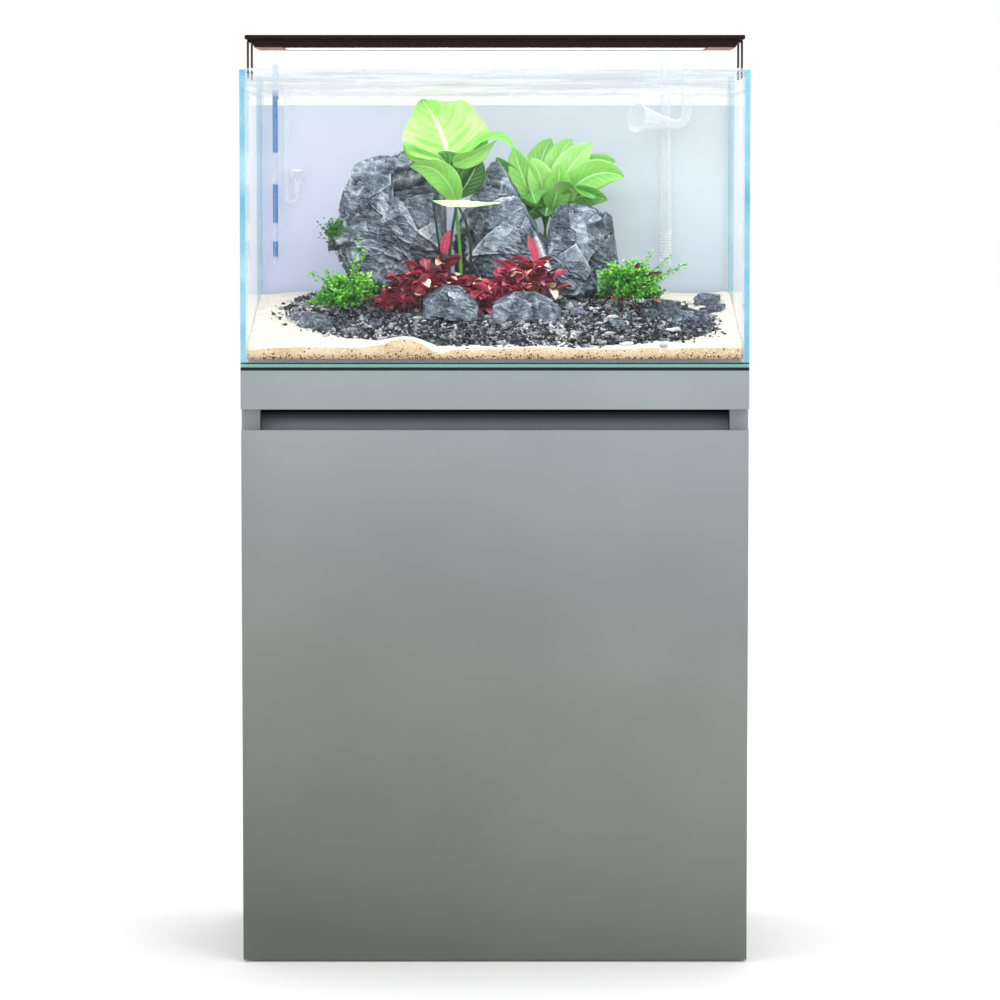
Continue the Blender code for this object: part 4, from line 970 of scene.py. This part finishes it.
# ---- Red plants --------------------------------------------------------------------------------
# Two low groups of red stem plants, planted in tufts. Their lance-shaped leaves go from dark
# crimson to pink, and the old ones fade to cream.
red, tree, inputs = blank("red leaf", Roughness=0.40)
uv = parts(tree, add(tree, "UVMap", {"uv_map": "UVMap"}).outputs["UV"])
off = calc(tree, "ABSOLUTE", calc(tree, "SUBTRACT", uv["Y"], 0.5))
tone, height = mottled(tree, 160.0, 900.0, 0.4)
blade = ramp(tree, toned(tree, tone, 0.30), (0.0, "3a0d18"), (0.22, "821a31"), (0.44, "bb2f4d"),
             (0.60, "e4678a"), (0.72, "c98a70"), (0.86, "ecd6b6"), (1.0, "fbf2df"))
midrib = calc(tree, "MULTIPLY", between(tree, off, 0.05, 0.01), 0.6)
wire(tree, inputs["Base Color"], mixed(tree, midrib, blade, "e58ea0"))
relief_on(tree, inputs, height, 0.3, 0.0005)


RED_TONES = (0.12, 0.28, 0.36, 0.46, 0.50, 0.62, 0.78, 0.92)
RED_SHARES = (0.12, 0.17, 0.15, 0.13, 0.11, 0.10, 0.10, 0.12)


def tuft(centre, spread, count, rng, lift=0.026):
    """Short stalks with a whorl of lance-shaped leaves at their heads."""
    skins = []
    for _ in range(count):
        x = centre[0] + spread[0] * rng.uniform(-1, 1)
        y = centre[1] + spread[1] * rng.uniform(-1, 1)
        bed = bed_top(x, y)
        middle = 1 - ((x - centre[0]) / spread[0]) ** 2 * 0.6
        top = np.array((x + rng.normal() * 0.004, y + rng.normal() * 0.003, bed))
        top[2] += (lift + spread[2] * rng.uniform(0, 1)) * middle
        stalk = [(x, y, bed - 0.003), (x, y, (bed + top[2]) / 2), top]
        skins.append(stem(stalk, 0.0007, 0.2, rows=6, sides=5))
        for k in range(rng.integers(4, 8)):
            turn = rng.uniform(0, 2 * np.pi)
            out = np.array((np.cos(turn), np.sin(turn) * 0.8 - 0.25, rng.uniform(-0.5, 0.75)))
            length = rng.uniform(0.015, 0.027)
            node = top - np.array((0, 0, (top[2] - bed) * 0.45 * (k % 2)))
            tip = node + out * length
            bend = node + out * length * 0.55 + np.array((0, 0, length * rng.uniform(0.10, 0.42)))
            side = np.cross(out, (0.1, 0.2, 1.0)) + rng.normal(size=3) * 0.35
            tone = float(rng.choice(RED_TONES, p=RED_SHARES))
            width = length * rng.uniform(0.23, 0.34)
            skins.append(leaf(node, bend, tip, width, side, 0.35, 0.20, tone, 0.85, thick=0.0003, rows=10,
                              across=5, seed=k))
    return skins


rng = np.random.default_rng(29)
skins = tuft((-0.096, -0.052), (0.042, 0.016, 0.028), 24, rng)
skins += tuft((-0.050, -0.045), (0.024, 0.014, 0.018), 10, rng, 0.018)
skins += tuft((-0.070, -0.030), (0.030, 0.010, 0.020), 9, rng, 0.038)
skins.append(leaf((-0.062, -0.034, 0.838), (-0.062, -0.036, 0.856), (-0.054, -0.038, 0.868), 0.006,
                  (1, 0, 0.2), 0.3, 0.1, 0.45, thick=0.0003, rows=12, across=6))
piece("red_plants_left", skins, red, instead=["plant_red_left"])

skins = tuft((0.022, -0.052), (0.034, 0.014, 0.024), 19, rng)
skins += tuft((0.050, -0.042), (0.022, 0.010, 0.022), 9, rng)
skins += tuft((0.004, -0.066), (0.022, 0.012, 0.010), 9, rng, 0.014)
skins += tuft((0.040, -0.022), (0.020, 0.008, 0.020), 5, rng, 0.034)
skins.append(leaf((0.050, -0.042, 0.830), (0.047, -0.044, 0.848), (0.040, -0.046, 0.862), 0.0058,
                  (1, 0, 0.2), 0.3, 0.1, 0.48, thick=0.0003, rows=12, across=6))
piece("red_plants_right", skins, red, instead=["plant_red_right"])

sprigs = tuft((0.163, -0.030), (0.012, 0.006, 0.006), 4, rng, 0.052)
piece("red_sprigs", sprigs, red)

# ---- Bushes ------------------------------------------------------------------------------------
# Two round bushes of a fine-leaved carpet plant, with a few long runners. Each runner carries
# pairs of tiny bright leaves all the way along.
bright = finish("bright small leaf", "2f8f14", "8fe048", 0.45, 0.2, 120.0, 900.0, 0.5)
tree, inputs, tone = parts_of(bright)
shade = add(tree, "Attribute", {"attribute_name": "tone"}).outputs["Fac"]
shade = ramp(tree, shade, (0.0, "0c3208"), (0.30, "287d16"), (0.55, "55be28"), (0.75, "98ec52"),
             (1.0, "e2ffb4"))
wire(tree, inputs["Base Color"], mixed(tree, 0.18, shade, tone))

tiny = np.array([(0, 0, 0), (0.45, -0.30, 0.02), (1, 0, 0.05), (0.45, 0.30, 0.02), (0.45, 0, 0.09),
                 (0.45, 0, -0.05)])
tiny_faces = np.array([(0, 1, 4), (1, 2, 4), (2, 3, 4), (3, 0, 4), (1, 0, 5), (2, 1, 5), (3, 2, 5),
                       (0, 3, 5)])


def runners(centre, radius, height, count, leaves, rng, tone_high=0.95):
    """Stalks that fan out from a foot over a dome, each with small leaves set round it in turn."""
    turn = rng.uniform(0, 2 * np.pi, count)
    climb = np.arcsin(rng.uniform(0.0, 1.0, count)) * 0.95
    reach = rng.uniform(0.78, 1.06, count)
    flat = np.cos(climb)
    end = np.stack([np.cos(turn) * flat * radius[0], np.sin(turn) * flat * radius[1], np.sin(climb) * height],
                   axis=1) * reach[:, None]
    u = np.linspace(0.38, 1.0, leaves)
    start = np.array((0, 0, 0.004))
    bow = np.array((0, 0, 0.35 * height)) * (u * (1 - u))[None, :, None]
    places = start + (end - start)[:, None, :] * u[None, :, None] + bow
    places = places + rng.normal(size=(count, leaves, 3)) * 0.0011
    along = (end / np.linalg.norm(end, axis=1, keepdims=True))[:, None, :]
    out = rng.normal(size=(count, leaves, 3)) + 0.9 * along
    out /= np.linalg.norm(out, axis=2, keepdims=True)
    side = np.cross(out, rng.normal(size=(count, leaves, 3)))
    side /= np.linalg.norm(side, axis=2, keepdims=True)
    turns = np.stack([out, side, np.cross(out, side)], axis=2).reshape(-1, 3, 3)
    size = rng.uniform(0.0048, 0.0088, count * leaves)
    high = np.clip(places[..., 2] / height, 0, 1) * 0.45 + u[None, :] * 0.35
    tones = np.clip(high + rng.normal(size=(count, leaves)) * 0.14, 0.02, tone_high).ravel()
    flat = places.reshape(-1, 3) + np.array(centre)
    skins = [scattered(tiny, tiny_faces, turns, np.repeat(size[:, None], 3, axis=1), flat, tones)]
    for tip in end[::3]:
        middle = start + (tip - start) * 0.5 + np.array((0, 0, 0.09 * height))
        stalk = np.array([start, middle, start + tip]) + np.array(centre)
        skins.append(stem(stalk, 0.0005, 0.3, rows=6, sides=5))
    return skins


rng = np.random.default_rng(61)
places = np.array((-0.196, 0.006, 0.868)) + rng.normal(size=(420, 3)) * (0.0068, 0.005, 0.0062)
turns = tumbled(420, rng, 0.0)
moss = scattered(tiny, tiny_faces, turns, np.full((420, 3), 0.0046), places, rng.uniform(0.0, 0.42, 420))
piece("moss_tuft", [moss], bright)


def bush(name, mound, skirt, heart, ends, tones, node):
    """A bush from two domes of runners, and long runners from its heart to the given ends."""
    skins = runners(*mound, 11, rng) + runners(*skirt, 9, rng)
    heart = np.array(heart)
    for end in ends:
        way = np.array(end) - heart
        line = heart + way * np.linspace(0.3, 1, 34)[:, None] + rng.normal(size=(34, 3)) * 0.0016
        turns = tumbled(34, rng, 0.0)
        size = np.full((34, 3), 0.0052)
        skins.append(scattered(tiny, tiny_faces, turns, size, line, rng.uniform(*tones, 34)))
        skins.append(stem([line[0] - way * 0.3, line[16], line[-1]], 0.0005, 0.4, rows=8, sides=5))
    piece(name, skins, bright, instead=[node])


rng = np.random.default_rng(17)
bush("bush_left_leaves", ((-0.176, -0.040, 0.780), (0.040, 0.030), 0.038, 120),
     ((-0.190, -0.050, 0.776), (0.030, 0.026), 0.024, 40), (-0.180, -0.040, 0.790),
     ((-0.224, -0.050, 0.818), (-0.205, -0.044, 0.822), (-0.166, -0.030, 0.858), (-0.158, -0.028, 0.845)),
     (0.35, 0.8), "bush_left")
bush("bush_right_leaves", ((0.160, -0.040, 0.788), (0.041, 0.030), 0.046, 125),
     ((0.172, -0.052, 0.782), (0.030, 0.026), 0.028, 40), (0.170, -0.040, 0.800),
     ((0.232, -0.046, 0.828), (0.214, -0.040, 0.838), (0.206, -0.050, 0.812), (0.190, -0.036, 0.845)),
     (0.4, 0.9), "bush_right")

# ---- Glassware ---------------------------------------------------------------------------------
# Blown clear glass pipes that hook over the back pane, a gas diffuser with a white ceramic disc,
# and a blue riser tube. Their walls show as pale outlines.
pipe, tree, inputs, alpha = clear("pipe glass", "f3fafc", 1.5, 0.05, 0.05)
facing = add(tree, "LayerWeight", Blend=0.32).outputs["Facing"]
x, y, z = where(tree)
slots = calc(tree, "SINE", calc(tree, "MULTIPLY", z, 1700.0))
slots = between(tree, slots, 0.2, 0.7)
low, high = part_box("inflow_pipe")
zone = calc(tree, "MULTIPLY", between(tree, z, low.z + 0.006, low.z + 0.007),
            between(tree, z, low.z + 0.046, low.z + 0.045))
zone = calc(tree, "MULTIPLY", zone, between(tree, x, low.x - 0.002, low.x))
zone = calc(tree, "MULTIPLY", zone, between(tree, x, high.x + 0.002, high.x))
slots = calc(tree, "MULTIPLY", slots, zone)
outline = calc(tree, "MULTIPLY", calc(tree, "POWER", facing, 1.5), 0.95)
alpha = calc(tree, "ADD", alpha, outline)
wire(tree, inputs["Alpha"], calc(tree, "ADD", alpha, calc(tree, "MULTIPLY", slots, 0.45), clamp=True))
coat(pipe, "outflow_pipe", "inflow_pipe", "gas_diffuser")

ceramic = finish("white ceramic", "e9ecee", "ffffff", 0.8, 0.5, 200.0, 2600.0, 0.6)
disc = [(0.0001, 0.0), (0.0072, 0.0), (0.0074, 0.0004), (0.0074, 0.0018), (0.0070, 0.0022), (0.0001, 0.0023)]
piece("diffuser_disc", [turned(disc, (-0.248, 0.1548, 0.9395), sides=28)], ceramic)

blue = finish("blue tube", "2f5f9f", "79a6dd", 0.25, 0.2, 160.0, 1400.0, 0.75)
tree, inputs, tone = parts_of(blue)
x, y, z = where(tree)
empty = between(tree, z, waterline - 0.001, waterline + 0.001)
for low_end, high_end in ((0.9235, 0.963), (0.852, 0.875), (0.80, 0.833)):
    gap = calc(tree, "MULTIPLY", between(tree, z, low_end - 0.001, low_end + 0.001),
               between(tree, z, high_end + 0.001, high_end - 0.001))
    empty = calc(tree, "MAXIMUM", empty, gap)
wire(tree, inputs["Base Color"], mixed(tree, empty, tone, "dbe8f4"))
wire(tree, inputs["Alpha"], calc(tree, "SUBTRACT", 1.0, calc(tree, "MULTIPLY", empty, 0.6)))
coat(blue, "gas_riser")

# ---- Canister filter ---------------------------------------------------------------------------
# A moulded black can with ribs up its sides, a grey pump head with two hose tails, and two clips
# that hold the head down on its seal.
coat(plastic, "filter_clip_left", "filter_clip_right")
low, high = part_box("filter_can")
middle = (low + high) / 2
half = (high.x - low.x) / 2 - 0.005
turn = np.linspace(0, 2 * np.pi, 480, endpoint=False)
square = (np.abs(np.cos(turn)) ** 7 + np.abs(np.sin(turn)) ** 7) ** (-1 / 7)
ribs = 0.5 + 0.5 * np.tanh(6 * np.sin(60 * turn))
tall = high.z - low.z
steps = [(0.0001, 0.0, 0), (half - 0.010, 0.0, 0), (half - 0.003, 0.001, 0), (half, 0.004, 0),
         (half, 0.018, 0), (half, 0.024, 1), (half, 0.110, 1), (half, 0.116, 0), (half, 0.130, 0),
         (half, 0.136, 1), (half, 0.236, 1), (half, 0.242, 0), (half, 0.258, 0), (half + 0.005, 0.261, 0),
         (half + 0.005, tall, 0), (0.0001, tall, 0)]
rings = []
for reach, up, ribbed in steps:
    out = (reach - 0.0016 * ribbed * ribs) * np.minimum(square, 1.245)
    rings.append(at_height(middle.x + out * np.cos(turn), middle.y + out * np.sin(turn), low.z + up))
piece("ribbed_can", [shell(rings)], plastic, instead=["filter_can"], smooth=False)
head_grey = finish("grey plastic", "3b3e42", "4c5054", 0.5, 0.3, 50.0, 1600.0, 0.5)
coat(head_grey, "filter_head")

low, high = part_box("filter_head")
nuts = []
for x in (middle.x - 0.024, middle.x + 0.024):
    collar = [(0.0086, -0.050), (0.0125, -0.050), (0.0130, -0.0485), (0.0130, -0.0400), (0.0120, -0.0385),
              (0.0086, -0.0385)]
    nuts.append(turned(collar, (x, middle.y - 0.020, high.z), sides=24))
    for k in range(1, 5):
        up = -0.006 * k
        barb = [(0.0081, up), (0.0092, up), (0.0083, up + 0.0035), (0.0081, up + 0.0035)]
        nuts.append(turned(barb, (x, middle.y - 0.020, high.z), sides=24))
piece("hose_nuts", nuts, plastic, smooth=False)

# ---- Back board screws -------------------------------------------------------------------------
# Plated pan-head screws hold the back board to the side boards and the bottom. Each head stands
# under 2 mm proud and has a small hollow for the driver.
low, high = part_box("back_panel")
spots = [(x, z) for x in (low.x + 0.010, high.x - 0.010) for z in np.linspace(low.z + 0.03, high.z - 0.09, 5)]
spots += [(x, low.z + 0.010) for x in np.linspace(low.x + 0.12, high.x - 0.12, 3)]
head = [(0.0001, 0.0), (0.0036, 0.0), (0.0036, 0.0004), (0.0026, 0.0014), (0.0010, 0.0016), (0.0008, 0.0009),
        (0.0001, 0.0008)]
screws = [turned(head, (x, high.y + 0.0001, z), (0, 1, 0), 20) for x, z in spots]
piece("back_screws", screws, nickel)

# ---- The finished size -------------------------------------------------------------------------
# The box of the CAD parts and the box of everything that shows, side by side. The finer
# surfaces stay inside the CAD parts' box.
sizes = {"cad": cad_box, "visual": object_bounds()}
